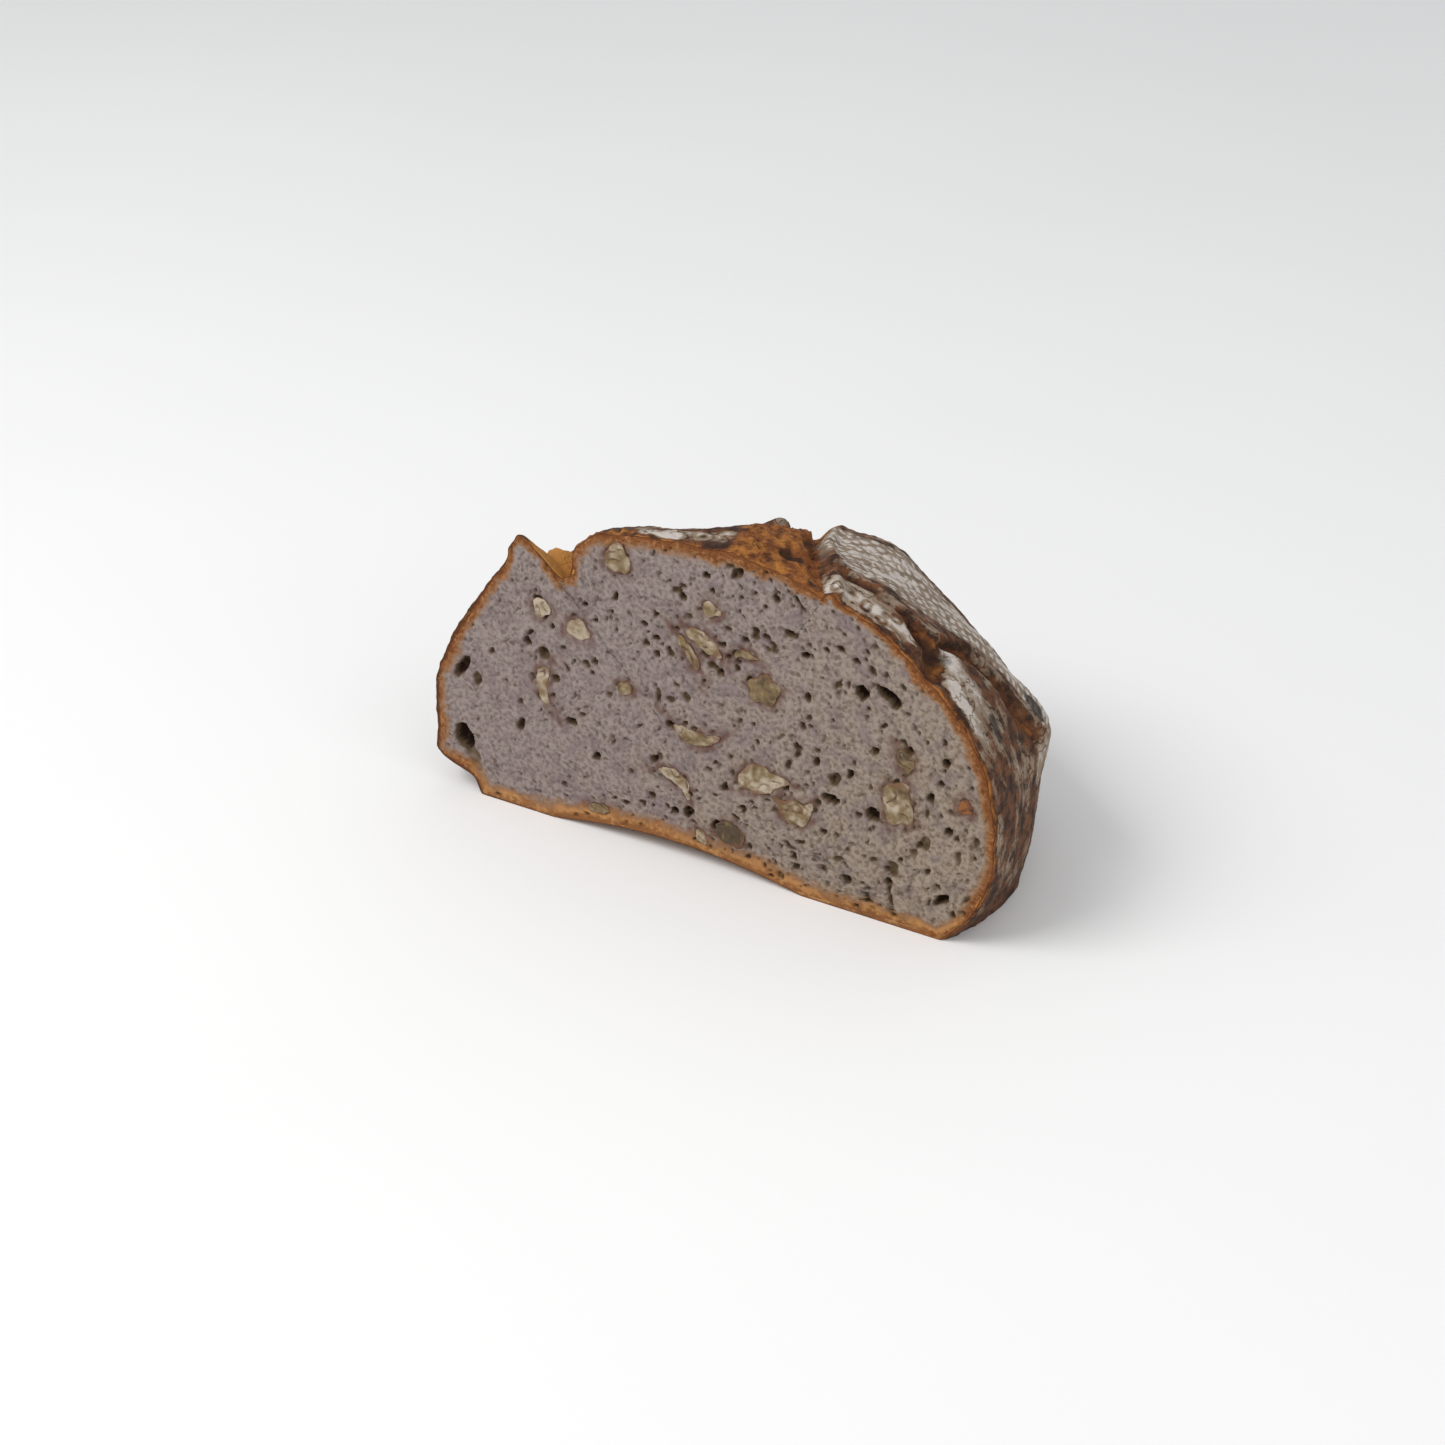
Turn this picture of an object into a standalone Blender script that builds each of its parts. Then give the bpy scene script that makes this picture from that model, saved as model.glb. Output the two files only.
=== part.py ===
"""Half of a rustic walnut loaf, cut crosswise and standing on its base.

X runs along the cut face, Y from the cut face to the back of the crust, and Z up. The origin
is on the base, under the middle of the half loaf. The loaf is one solid, crust and crumb
together, and each piece of walnut that shows at the cut is a solid in a pocket of its own.
"""

import math
from collections import namedtuple

import bmesh
import bpy
import numpy as np
from mathutils import Matrix, Vector, noise

MM = 0.001

# Driving dimensions of the loaf, in metres
HALF_WIDTH = 103.5 * MM  # from the middle of the cut face to its widest point
GIRTH_HEIGHT = 36 * MM  # height of the widest level above the base
CROWN_RISE = 78 * MM  # from the widest level to the top of the cut face
FOOT_DROP = 60 * MM  # how far below the widest level the sides would close without a base
FOOT_FULLNESS = 45 * MM  # what is added to that drop behind the cut
FOOT_RAMP = 3  # how quickly it is added
LOAF_DEPTH = 116 * MM  # from the cut face to the back
CUT_SETBACK = 56 * MM  # from the origin to the cut face
OUTLINE_POWER = 2.25  # 2 is an ellipse, and more is squarer
CROWN_POWER_LOSS = 0.6  # the crown falls away more steeply behind the cut
FOOT_POWER_GAIN = 0.35

# The base arches up a little where the knife came through
ARCH_CENTRE_X = -8 * MM
ARCH_HALF_WIDTH = 47 * MM
ARCH_LENGTH = 42 * MM
ARCH_HEIGHT = 5.4 * MM
ARCH_SEGMENTS = 28
ARCH_RINGS = 12

# Unevenness of the crust: height and waves per loaf radius
CRUST_WAVES = ((1.3 * MM, 3.2), (0.7 * MM, 9.0))

SKIN_SEGMENTS = 30  # mesh rows across one side of the loaf
FINE_BAND = 9 * MM  # the rows are halved this far to either side of a tear
SHARP_ANGLE = 50  # degrees between faces above which an edge is drawn sharp

# Section of a tear: how square its bottom is, and where its lip stands and how wide it is, in
# widths of the tear
TEAR_POWER = 3
LIP_OFFSET = 1.9
LIP_WIDTH = 0.9

FIT_GAP = 0.45 * MM  # between a walnut piece and its pocket
KNIFE_CLEARANCE = 3 * MM  # how far a cutter stands out of the cut face

# Broad swellings and hollows of the crust. turn is an angle round the cut face from its right
# end, and rise an angle from the cut face to the back, both seen from the loaf's middle.
Swell = namedtuple("Swell", "turn rise height turn_spread rise_spread")
SWELLS = (
    Swell(157, 0, -9 * MM, 15, 45),  # sloping left shoulder
    Swell(118, 31, -10.5 * MM, 15, 14),  # flatter crown behind the cut
    Swell(133.9, 0, 2.3 * MM, 1.9, 2.0),  # tip of the horn at the left of the notch
    Swell(138.4, 0, 2.0 * MM, 2.4, 3.4),  # and its shoulder
    Swell(136.2, 3, -8.1 * MM, 3.6, 2.4),  # dip behind the horn
    Swell(137, 14, -6.7 * MM, 8, 6),  # lower ground behind it
    Swell(121, 0, -3.7 * MM, 3.5, 6),  # right flank of the notch
    Swell(38, 34, -5 * MM, 15.6, 14),  # flatter right shoulder
    Swell(63, 47, 5 * MM, 9, 9),  # raised plate at the right of the crown
    Swell(18, 55, -4.6 * MM, 12, 9),  # and the slope below it
    Swell(193.5, 0, 5 * MM, 3, 8),  # bulge over the left foot
    Swell(199, 0, -5 * MM, 3, 8),  # chipped left foot
    Swell(77, 16, 3 * MM, 9, 10),  # bloom that rose through the crust
    Swell(9, 30, 6 * MM, 4.5, 6),  # torn ear at the right
)

# Tears of the crust: a path of (turn, rise) points, the depth at each of them, the half width on
# the near and the far side of the path, and the height of the lip on the near side. Looked at
# along a path that leads back from the cut, near is the greater turn.
Tear = namedtuple("Tear", "path depths near_width far_width lip")
TEARS = (
    Tear(
        path=((130.7, -4), (130.7, 0), (131.2, 5), (133, 14), (122, 26), (110, 42), (92, 56)),
        depths=(13.7 * MM, 13.7 * MM, 15.3 * MM, 7.5 * MM, 6 * MM, 5 * MM, 5 * MM),
        near_width=3.8 * MM,
        far_width=10.7 * MM,
        lip=1.4 * MM,
    ),
    Tear(
        path=((82, 56), (76, 38), (72, 27), (67.5, 16), (62, 6), (59, 1.5)),
        depths=(5 * MM, 5 * MM, 5 * MM, 3.4 * MM, 2 * MM, 0.6 * MM),
        near_width=3.8 * MM,
        far_width=5 * MM,
        lip=1.4 * MM,
    ),
    Tear(
        path=((64, 12), (58, 10.5), (52, 10.5), (45, 10.6), (40, 8.5)),
        depths=(1 * MM, 2.2 * MM, 2.6 * MM, 3 * MM, 3.4 * MM),
        near_width=3.8 * MM,
        far_width=3.8 * MM,
        lip=0.6 * MM,
    ),
    Tear(
        path=((40, 8.5), (36.5, 8), (34.5, 3)),
        depths=(3.4 * MM, 4.6 * MM, 3 * MM),
        near_width=4.4 * MM,
        far_width=4.4 * MM,
        lip=0,
    ),
    Tear(
        path=((36, 13), (32, 17.5), (27, 20.3), (21, 21.3), (15.6, 21.7), (11, 22.6)),
        depths=(3.4 * MM, 3.4 * MM, 3.4 * MM, 3 * MM, 2.6 * MM, 1.6 * MM),
        near_width=3.8 * MM,
        far_width=4 * MM,
        lip=0.8 * MM,
    ),
    Tear(
        path=((92, 56), (76, 60), (52, 60), (30, 52), (17, 44)),
        depths=(5 * MM, 6 * MM, 7 * MM, 6 * MM, 2 * MM),
        near_width=7 * MM,
        far_width=9 * MM,
        lip=2 * MM,
    ),
    Tear(
        path=((92, 56), (118, 68), (150, 62), (166, 48)),
        depths=(5 * MM, 5 * MM, 4 * MM, 2 * MM),
        near_width=5 * MM,
        far_width=7 * MM,
        lip=1.6 * MM,
    ),
    Tear(
        path=((145, 16), (153, 28), (158, 40)),
        depths=(2 * MM, 3.5 * MM, 2 * MM),
        near_width=5 * MM,
        far_width=5 * MM,
        lip=1 * MM,
    ),
)

# Walnut pieces at the cut: middle, length, width, slope in degrees, bend of the long axis as a
# share of the width, narrowing towards the right end, and lobes round the edge.
Walnut = namedtuple("Walnut", "name x z length width slope bend taper lobes")
WALNUTS = (
    Walnut("walnut_top_wedge", -27.1, 102.2, 9.9, 9.0, -54, 0.0, -0.45, 3),
    Walnut("walnut_left_round", -56.6, 78.3, 6.9, 6.8, 0, 0.0, 0.0, 3),
    Walnut("walnut_left_pebble", -42.7, 74.0, 8.6, 7.0, -8, 0.0, -0.1, 3),
    Walnut("walnut_long_sliver", 3.4, 81.7, 15.4, 5.2, -29, 0.12, 0.0, 2),
    Walnut("walnut_thin_sliver", -2.0, 76.8, 13.0, 3.7, -59, 0.12, 0.2, 2),
    Walnut("walnut_small_sliver", 18.5, 81.2, 7.4, 3.2, -2, 0.2, -0.3, 2),
    Walnut("walnut_middle_lump", 24.7, 70.8, 11.1, 10.0, 8, 0.0, 0.0, 5),
    Walnut("walnut_left_hook", -56.8, 50.5, 14.6, 4.6, -92, -0.5, 0.1, 3),
    Walnut("walnut_small_crumb", -25.8, 57.4, 5.6, 4.7, 0, 0.0, 0.0, 2),
    Walnut("walnut_kidney", 0.7, 47.3, 15.9, 5.6, 2, -0.45, -0.15, 2),
    Walnut("walnut_comma", -6.6, 28.8, 13.2, 5.0, -37, 0.55, -0.1, 2),
    Walnut("walnut_large_leaf", 24.6, 38.6, 17.6, 9.0, 13, 0.1, -0.5, 4),
    Walnut("walnut_two_horned", 36.0, 30.9, 12.8, 8.4, 4, -0.35, 0.1, 5),
    Walnut("walnut_right_block", 71.4, 44.5, 16.0, 10.2, -88, 0.0, 0.1, 4),
    Walnut("walnut_right_tip", 73.3, 59.2, 9.2, 4.8, -85, 0.15, -0.4, 2),
    Walnut("walnut_low_olive", 12.6, 14.9, 11.0, 8.2, -17, 0.1, 0.15, 3),
    Walnut("walnut_low_chip", 2.2, 10.6, 6.0, 4.2, -46, 0.0, 0.0, 2),
    Walnut("walnut_base_chip", -36.8, 9.0, 8.2, 3.6, 12, 0.0, 0.0, 2),
    Walnut("walnut_pale_chip", 6.0, 93.4, 6.4, 5.2, -10, 0.0, 0.0, 3),
    Walnut("walnut_brown_knob", 93.4, 49.9, 5.4, 4.6, 80, 0.0, 0.0, 3),
)
LOBE_SHARE = 0.1  # of the radius
BEND_BALANCE = 0.4  # keeps the middle of a bent piece where it is stated
WALNUT_DEPTH_SHARE = 0.45  # how deep a piece goes, of its width
WALNUT_LEAST_DEPTH = 1.5 * MM  # and what is added to that
WALNUT_SEGMENTS = 14
WALNUT_RINGS = 7
WALNUT_CROWN = 0.3 * MM  # how far the cut nut stands proud of the crumb in its middle

# The largest bubbles of the crumb at the cut: middle, length, width, slope and depth in mm
BUBBLES = (
    (-89.0, 17.5, 17.0, 9.0, -84, 7.0),
    (-89.4, 48.0, 13.1, 4.1, -124, 4.5),
    (-83.4, 44.9, 6.8, 3.7, -87, 3.0),
    (-56.5, 61.6, 5.5, 4.9, 90, 3.5),
    (15.1, 108.2, 6.7, 3.3, -133, 3.0),
    (57.9, 79.0, 5.5, 5.0, -55, 4.5),
    (66.8, 80.5, 11.3, 4.4, -28, 4.5),
    (49.8, 46.4, 6.5, 4.1, -114, 3.5),
    (48.4, 39.0, 7.1, 3.7, 0, 3.5),
    (63.0, 38.0, 5.6, 5.5, 0, 4.0),
    (80.8, 33.0, 7.5, 4.1, -93, 3.5),
    (70.6, 20.3, 7.6, 4.4, -71, 3.5),
    (87.3, 14.6, 7.4, 3.7, 42, 3.5),
    (-2.6, 18.4, 6.2, 4.1, -115, 3.0),
)
BUBBLE_SEGMENTS = 10
BUBBLE_RINGS = 6

CRUST_BROWN = (0.23, 0.105, 0.048, 1)
KERNEL_CREAM = (0.36, 0.29, 0.18, 1)


def clear_scene():
    for obj in list(bpy.data.objects):
        bpy.data.objects.remove(obj, do_unlink=True)


def new_collection(name):
    collection = bpy.data.collections.new(name)
    bpy.context.scene.collection.children.link(collection)
    return collection


def new_material(name, colour, roughness):
    material = bpy.data.materials.new(name)
    material.use_nodes = True
    shader = material.node_tree.nodes["Principled BSDF"]
    shader.inputs["Base Color"].default_value = colour
    shader.inputs["Roughness"].default_value = roughness
    shader.inputs["Metallic"].default_value = 0
    return material


def new_object(name, mesh, collection):
    obj = bpy.data.objects.new(name, mesh)
    obj.location.y = -CUT_SETBACK
    collection.objects.link(obj)
    return obj


def way_to(turn, rise):
    """The unit direction, from the loaf's middle, of a point on the crust."""
    across = math.cos(math.radians(rise))
    return np.array(
        (
            math.cos(math.radians(turn)) * across,
            math.sin(math.radians(rise)),
            math.sin(math.radians(turn)) * across,
        )
    )


def superellipse(side, height, half_width, half_height, power):
    return ((side / half_width) ** power + (height / half_height) ** power) ** (-1 / power)


def smooth_radius(ways):
    """Distance from the loaf's middle to its crust before any swelling or tear."""
    back = np.abs(ways[:, 1])
    across = np.maximum(np.hypot(ways[:, 0], ways[:, 2]), 1e-9)
    side = np.abs(ways[:, 0]) / across
    height = ways[:, 2] / across
    drop = FOOT_DROP + FOOT_FULLNESS * np.clip(FOOT_RAMP * back, 0, 1)
    reach = np.where(
        height >= 0,
        superellipse(side, np.abs(height), HALF_WIDTH, CROWN_RISE, OUTLINE_POWER),
        superellipse(side, np.abs(height), HALF_WIDTH, drop, OUTLINE_POWER),
    )
    power = OUTLINE_POWER + np.where(
        height >= 0, -CROWN_POWER_LOSS * height, -FOOT_POWER_GAIN * height
    )
    return ((across / reach) ** power + (back / LOAF_DEPTH) ** power) ** (-1 / power)


def swell_relief(ways, swell):
    turns = np.degrees(np.arctan2(ways[:, 2], ways[:, 0]))
    rises = np.degrees(np.arcsin(np.clip(ways[:, 1], -1, 1)))
    off_turn = ((turns - swell.turn + 180) % 360 - 180) * np.cos(np.radians(rises))
    off_rise = rises - swell.rise
    spread = (off_turn / swell.turn_spread) ** 2 + (off_rise / swell.rise_spread) ** 2
    return swell.height * np.exp(-spread / 2)


def distance_to_path(ways, path):
    """For each direction: how far it is from the path in metres at the crust, how far along
    the path, counted in its points, and on which side."""
    points = [way_to(*point) for point in path]
    nearest = np.full(len(ways), np.inf)
    along = np.zeros(len(ways))
    side = np.zeros(len(ways))
    for index, (start, end) in enumerate(zip(points, points[1:])):
        run = end - start
        share = np.clip((ways - start) @ run / (run @ run), 0, 1)
        gap = np.linalg.norm(ways - start - share[:, None] * run, axis=1)
        closer = gap < nearest
        nearest = np.where(closer, gap, nearest)
        along = np.where(closer, index + share, along)
        side = np.where(closer, ways @ np.cross(start, end), side)
    return nearest * HALF_WIDTH, along, side


def tear_relief(ways, tear):
    distance, along, side = distance_to_path(ways, tear.path)
    depth = np.interp(along, range(len(tear.depths)), tear.depths)
    width = np.where(side > 0, tear.near_width, tear.far_width)
    groove = -depth * np.exp(-((distance / width) ** TEAR_POWER))
    off_lip = (distance / tear.near_width - LIP_OFFSET) / LIP_WIDTH
    lip = np.where(side > 0, tear.lip * np.exp(-(off_lip**2)), 0)
    return groove + lip


def wave_relief(ways):
    relief = np.zeros(len(ways))
    for height, waves in CRUST_WAVES:
        relief += [height * noise.noise(Vector(way) * waves) for way in ways]
    return relief


def crust_radius(ways):
    radius = smooth_radius(ways) + wave_relief(ways)
    for swell in SWELLS:
        radius += swell_relief(ways, swell)
    for tear in TEARS:
        radius += tear_relief(ways, tear)
    return radius


def ball_ways(mesh):
    """The direction in which each vertex of a cube of side 2 goes to lie on a ball."""
    spread = np.tan(np.array([vertex.co for vertex in mesh.verts]) * math.pi / 4)
    return spread / np.linalg.norm(spread, axis=1)[:, None]


def half_ball(segments):
    """The back half of a unit ball whose faces are nearly square, and smaller at the tears."""
    mesh = bmesh.new()
    bmesh.ops.create_cube(mesh, size=2)
    bmesh.ops.subdivide_edges(mesh, edges=mesh.edges[:], cuts=segments - 1, use_grid_fill=True)
    ways = ball_ways(mesh)
    to_tear = np.min([distance_to_path(ways, tear.path)[0] for tear in TEARS], axis=0)
    mesh.verts.index_update()
    near = [
        edge
        for edge in mesh.edges
        if all(to_tear[vertex.index] < FINE_BAND for vertex in edge.verts)
    ]
    bmesh.ops.subdivide_edges(mesh, edges=near, cuts=1, use_grid_fill=True)
    for vertex, way in zip(mesh.verts, ball_ways(mesh)):
        vertex.co = way
    bmesh.ops.bisect_plane(
        mesh,
        geom=mesh.verts[:] + mesh.edges[:] + mesh.faces[:],
        dist=1e-5,
        plane_co=(0, 0, 0),
        plane_no=(0, 1, 0),
        clear_inner=True,
    )
    return mesh


def close_flat(mesh, point, normal):
    """Cuts away what lies behind a plane and closes the opening with one flat face."""
    bmesh.ops.bisect_plane(
        mesh,
        geom=mesh.verts[:] + mesh.edges[:] + mesh.faces[:],
        dist=1e-6,
        plane_co=point,
        plane_no=normal,
        clear_inner=True,
    )
    rim = [edge for edge in mesh.edges if edge.is_boundary]
    bmesh.ops.contextual_create(mesh, geom=rim)


def loaf_mesh():
    """The half loaf with a flat cut face and a flat base, before the pockets are cut."""
    mesh = half_ball(SKIN_SEGMENTS)
    ways = np.array([vertex.co for vertex in mesh.verts])
    middle = Vector((0, 0, GIRTH_HEIGHT))
    for vertex, radius in zip(mesh.verts, crust_radius(ways)):
        vertex.co = middle + vertex.co * radius
    close_flat(mesh, (0, 0, 0), (0, 1, 0))
    close_flat(mesh, (0, 0, 0), (0, 0, 1))
    bmesh.ops.recalc_face_normals(mesh, faces=mesh.faces[:])
    data = bpy.data.meshes.new("loaf")
    mesh.to_mesh(data)
    mesh.free()
    data.shade_smooth()
    data.set_sharp_from_angle(angle=math.radians(SHARP_ANGLE))
    return data


def lens_mesh(name, segments, rings, place):
    """A ball with its poles at the front and the back, each of whose points goes where place
    puts it, given its distance from the axis, its angle round it and its depth."""
    mesh = bmesh.new()
    bmesh.ops.create_uvsphere(mesh, u_segments=segments, v_segments=rings, radius=1)
    bmesh.ops.rotate(mesh, verts=mesh.verts[:], matrix=Matrix.Rotation(-math.pi / 2, 3, "X"))
    for vertex in mesh.verts:
        across, deep, up = vertex.co
        vertex.co = place(math.hypot(across, up), math.atan2(up, across), deep)
    data = bpy.data.meshes.new(name)
    mesh.to_mesh(data)
    mesh.free()
    data.shade_smooth()
    return data


def turned(across, up, slope, x, z):
    """A point of the cut face, turned by slope in degrees and moved to x and z."""
    angle = math.radians(slope)
    return (
        x + across * math.cos(angle) - up * math.sin(angle),
        z + across * math.sin(angle) + up * math.cos(angle),
    )


def walnut_place(nut, grow, front):
    """Where a ball's point goes on a walnut piece that is grown by grow all round and stands
    out of the cut face by front."""
    half_length = nut.length * MM / 2 + grow
    half_width = nut.width * MM / 2 + grow
    depth = WALNUT_DEPTH_SHARE * nut.width * MM + WALNUT_LEAST_DEPTH + grow

    def place(ring, angle, deep):
        lobed = ring * (1 + LOBE_SHARE * math.cos(nut.lobes * angle + nut.x))
        across = lobed * half_length * math.cos(angle)
        narrowed = 1 + nut.taper * math.cos(angle)
        up = lobed * half_width * math.sin(angle) * narrowed
        up += nut.bend * nut.width * MM * (BEND_BALANCE - (across / half_length) ** 2)
        x, z = turned(across, up, nut.slope, nut.x * MM, nut.z * MM)
        return x, deep * (depth if deep > 0 else front), z

    return place


def add_walnut(nut, collection, cutters, material):
    place = walnut_place(nut, 0, WALNUT_CROWN)
    piece = new_object(
        nut.name, lens_mesh(nut.name, WALNUT_SEGMENTS, WALNUT_RINGS, place), collection
    )
    piece.data.materials.append(material)
    place = walnut_place(nut, FIT_GAP, KNIFE_CLEARANCE)
    add_cutter(nut.name + "_pocket", WALNUT_SEGMENTS, WALNUT_RINGS, place, cutters)


def add_cutter(name, segments, rings, place, cutters):
    cutter = new_object(name, lens_mesh(name, segments, rings, place), cutters)
    cutter.hide_render = True
    cutter.display_type = "WIRE"


def add_bubble(number, bubble, cutters):
    x, z, length, width, slope, depth = bubble

    def place(ring, angle, deep):
        across = ring * length * MM / 2 * math.cos(angle)
        up = ring * width * MM / 2 * math.sin(angle)
        x_turned, z_turned = turned(across, up, slope, x * MM, z * MM)
        return x_turned, deep * depth * MM, z_turned

    add_cutter(f"bubble_{number}", BUBBLE_SEGMENTS, BUBBLE_RINGS, place, cutters)


def add_arch(cutters):
    """The shallow hollow under the front of the base."""

    def place(ring, angle, deep):
        up = ring * math.sin(angle)
        return (
            ARCH_CENTRE_X + ring * ARCH_HALF_WIDTH * math.cos(angle),
            deep * ARCH_LENGTH,
            ARCH_HEIGHT * up * abs(up),
        )

    add_cutter("base_arch", ARCH_SEGMENTS, ARCH_RINGS, place, cutters)


def main():
    clear_scene()
    bread = new_collection("walnut_loaf_half")
    cutters = new_collection("cutters")
    crust = new_material("baked_crust", CRUST_BROWN, 0.85)
    kernel = new_material("walnut_kernel", KERNEL_CREAM, 0.6)
    loaf = new_object("loaf", loaf_mesh(), bread)
    loaf.data.materials.append(crust)
    for nut in WALNUTS:
        add_walnut(nut, bread, cutters, kernel)
    for number, bubble in enumerate(BUBBLES, 1):
        add_bubble(number, bubble, cutters)
    add_arch(cutters)
    pockets = loaf.modifiers.new("pockets", "BOOLEAN")
    pockets.operation = "DIFFERENCE"
    pockets.operand_type = "COLLECTION"
    pockets.collection = cutters
    pockets.solver = "EXACT"


main()
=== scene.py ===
import math
from collections import namedtuple

import bmesh
import bpy
import numpy as np
from mathutils import Matrix, Vector, noise


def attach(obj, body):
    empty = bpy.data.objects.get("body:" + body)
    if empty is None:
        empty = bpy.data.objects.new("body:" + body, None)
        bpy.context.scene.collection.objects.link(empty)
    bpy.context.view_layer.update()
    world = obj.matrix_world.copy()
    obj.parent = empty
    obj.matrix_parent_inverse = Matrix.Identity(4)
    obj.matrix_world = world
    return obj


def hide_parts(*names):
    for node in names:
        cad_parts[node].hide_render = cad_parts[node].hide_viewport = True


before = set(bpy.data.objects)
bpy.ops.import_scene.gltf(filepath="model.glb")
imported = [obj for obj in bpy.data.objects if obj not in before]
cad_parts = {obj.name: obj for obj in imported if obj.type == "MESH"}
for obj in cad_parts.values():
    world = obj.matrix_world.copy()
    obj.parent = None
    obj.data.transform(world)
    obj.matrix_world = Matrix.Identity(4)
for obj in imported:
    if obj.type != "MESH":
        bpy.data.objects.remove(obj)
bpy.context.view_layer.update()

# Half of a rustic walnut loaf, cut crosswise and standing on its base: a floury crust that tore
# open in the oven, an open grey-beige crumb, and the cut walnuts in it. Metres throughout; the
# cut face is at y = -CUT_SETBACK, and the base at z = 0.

MM = 0.001

# The loaf's plain body
HALF_WIDTH = 103.5 * MM
GIRTH_HEIGHT = 36 * MM
CROWN_RISE = 78 * MM
FOOT_DROP = 60 * MM
FOOT_FULLNESS = 45 * MM
FOOT_RAMP = 3
LOAF_DEPTH = 116 * MM
CUT_SETBACK = 56 * MM
OUTLINE_POWER = 2.25
CROWN_POWER_LOSS = 0.6
FOOT_POWER_GAIN = 0.35
ARCH_CENTRE_X = -8 * MM
ARCH_HALF_WIDTH = 47 * MM
ARCH_LENGTH = 42 * MM
ARCH_HEIGHT = 5.4 * MM
BASE_EDGE = 1.5 * MM  # how softly the underside's colour starts
CRUST_WAVES = ((1.3 * MM, 3.2), (0.7 * MM, 9.0))  # height, and waves per loaf radius

# Finer waves of noise, each with its height, its length and the seed that sets it apart. On the
# crust lengths are shares of the loaf's radius.
EDGE_WAVES = ((0.14, 0.10, 1), (0.16, 0.035, 2))  # of its zones' edges, as shares of their width
WANDER_WAVES = ((0.020, 0.12, 3), (0.007, 0.04, 8))  # of the courses of its tears
WANDER_FROM_RISE = 9  # degrees behind the cut, before which the tears wander less
CRAG_WAVE = (1.0 * MM, 0.055, 8)  # of the ridges in torn dough
DOUGH_WAVES = ((0.9 * MM, 0.022, 9),)  # between those ridges
SKIN_WAVES = ((0.35 * MM, 0.028, 10), (0.2 * MM, 0.014, 11))  # of the whole crust
SKIN_THICKNESS = 0.7 * MM  # how far the unbroken skin stands above torn dough
SKIN_SINK = 0.5 * MM
CRUMB_WAVES = ((0.35 * MM, 14 * MM, 32), (0.20 * MM, 2.6 * MM, 33), (0.16 * MM, 1.3 * MM, 34))
BAND_WAVES = ((1.6 * MM, 7 * MM, 35), (0.9 * MM, 2 * MM, 36))  # of the browned band's inner edge
DARK_LINE_WAVE = (0.3, 3 * MM, 37)  # of the dark line round the cut
KERNEL_OUTLINE_WAVES = ((0.8 * MM, 2.8 * MM), (0.3 * MM, 1.1 * MM))  # the seed is the walnut's own
KERNEL_FACE_WAVES = ((0.35 * MM, 3.4 * MM, 44), (0.12 * MM, 1.4 * MM, 43))

# The shell of crust, and the slab of crumb that lies in its mouth
CRUST_SEGMENTS = 176  # mesh rows across one side of the loaf
CRUMB_COLUMNS = 408
CRUMB_ROWS = 228
# Each as far in from the crust's outside, and as far behind the cut
MOUTH_RINGS = ((0.3 * MM, 0), (1.0 * MM, 1.6 * MM), (1.7 * MM, 4 * MM), (3.0 * MM, 10 * MM))
SLAB_RINGS = ((1.2 * MM, 0.8 * MM), (1.8 * MM, 2.2 * MM), (2.6 * MM, 5 * MM), (4.0 * MM, 9.4 * MM))
# Where the strips between them are kept under the crust: at these shares of the depth, and as far
# to either side, in radians
STRIP_CHECKS = (0.5, 0.7, 0.85, 1.0)
STRIP_LEANS = (-0.022, 0, 0.022)

# Broad swellings and hollows. turn is an angle round the cut face from its right end, and rise
# an angle from the cut face to the back, both seen from the loaf's middle.
Swell = namedtuple("Swell", "turn rise height turn_spread rise_spread")
SWELLS = (
    Swell(157, 0, -9 * MM, 15, 45),  # sloping left shoulder
    Swell(118, 31, -10.5 * MM, 15, 14),  # flatter crown behind the cut
    Swell(133.9, 0, 2.0 * MM, 1.2, 1.4),  # tip of the horn at the left of the notch
    Swell(136.7, 0, 4.4 * MM, 2.5, 3.4),  # and its shoulder
    Swell(133.7, 4, -5.8 * MM, 2.8, 1.6),  # dip behind the horn
    Swell(137, 14, -12 * MM, 8, 6),  # lower ground behind it
    Swell(121, 0, -2.4 * MM, 2.7, 6),  # right flank of the notch
    Swell(38, 34, -5 * MM, 15.6, 14),  # flatter right shoulder
    Swell(63, 47, 5 * MM, 9, 9),  # raised plate at the right of the crown
    Swell(18, 55, -4.6 * MM, 12, 9),  # and the slope below it
    Swell(193.5, 0, 5 * MM, 3, 8),  # bulge over the left foot
    Swell(199, 0, -5 * MM, 3, 8),  # chipped left foot
    Swell(77, 16, 3 * MM, 9, 10),  # bloom that rose through the crust
    Swell(9, 30, 6 * MM, 4.5, 6),  # torn ear at the right
    Swell(70.5, 9, -3.0 * MM, 2.0, 1.8),  # dark hollow in the bloom
)

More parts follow.
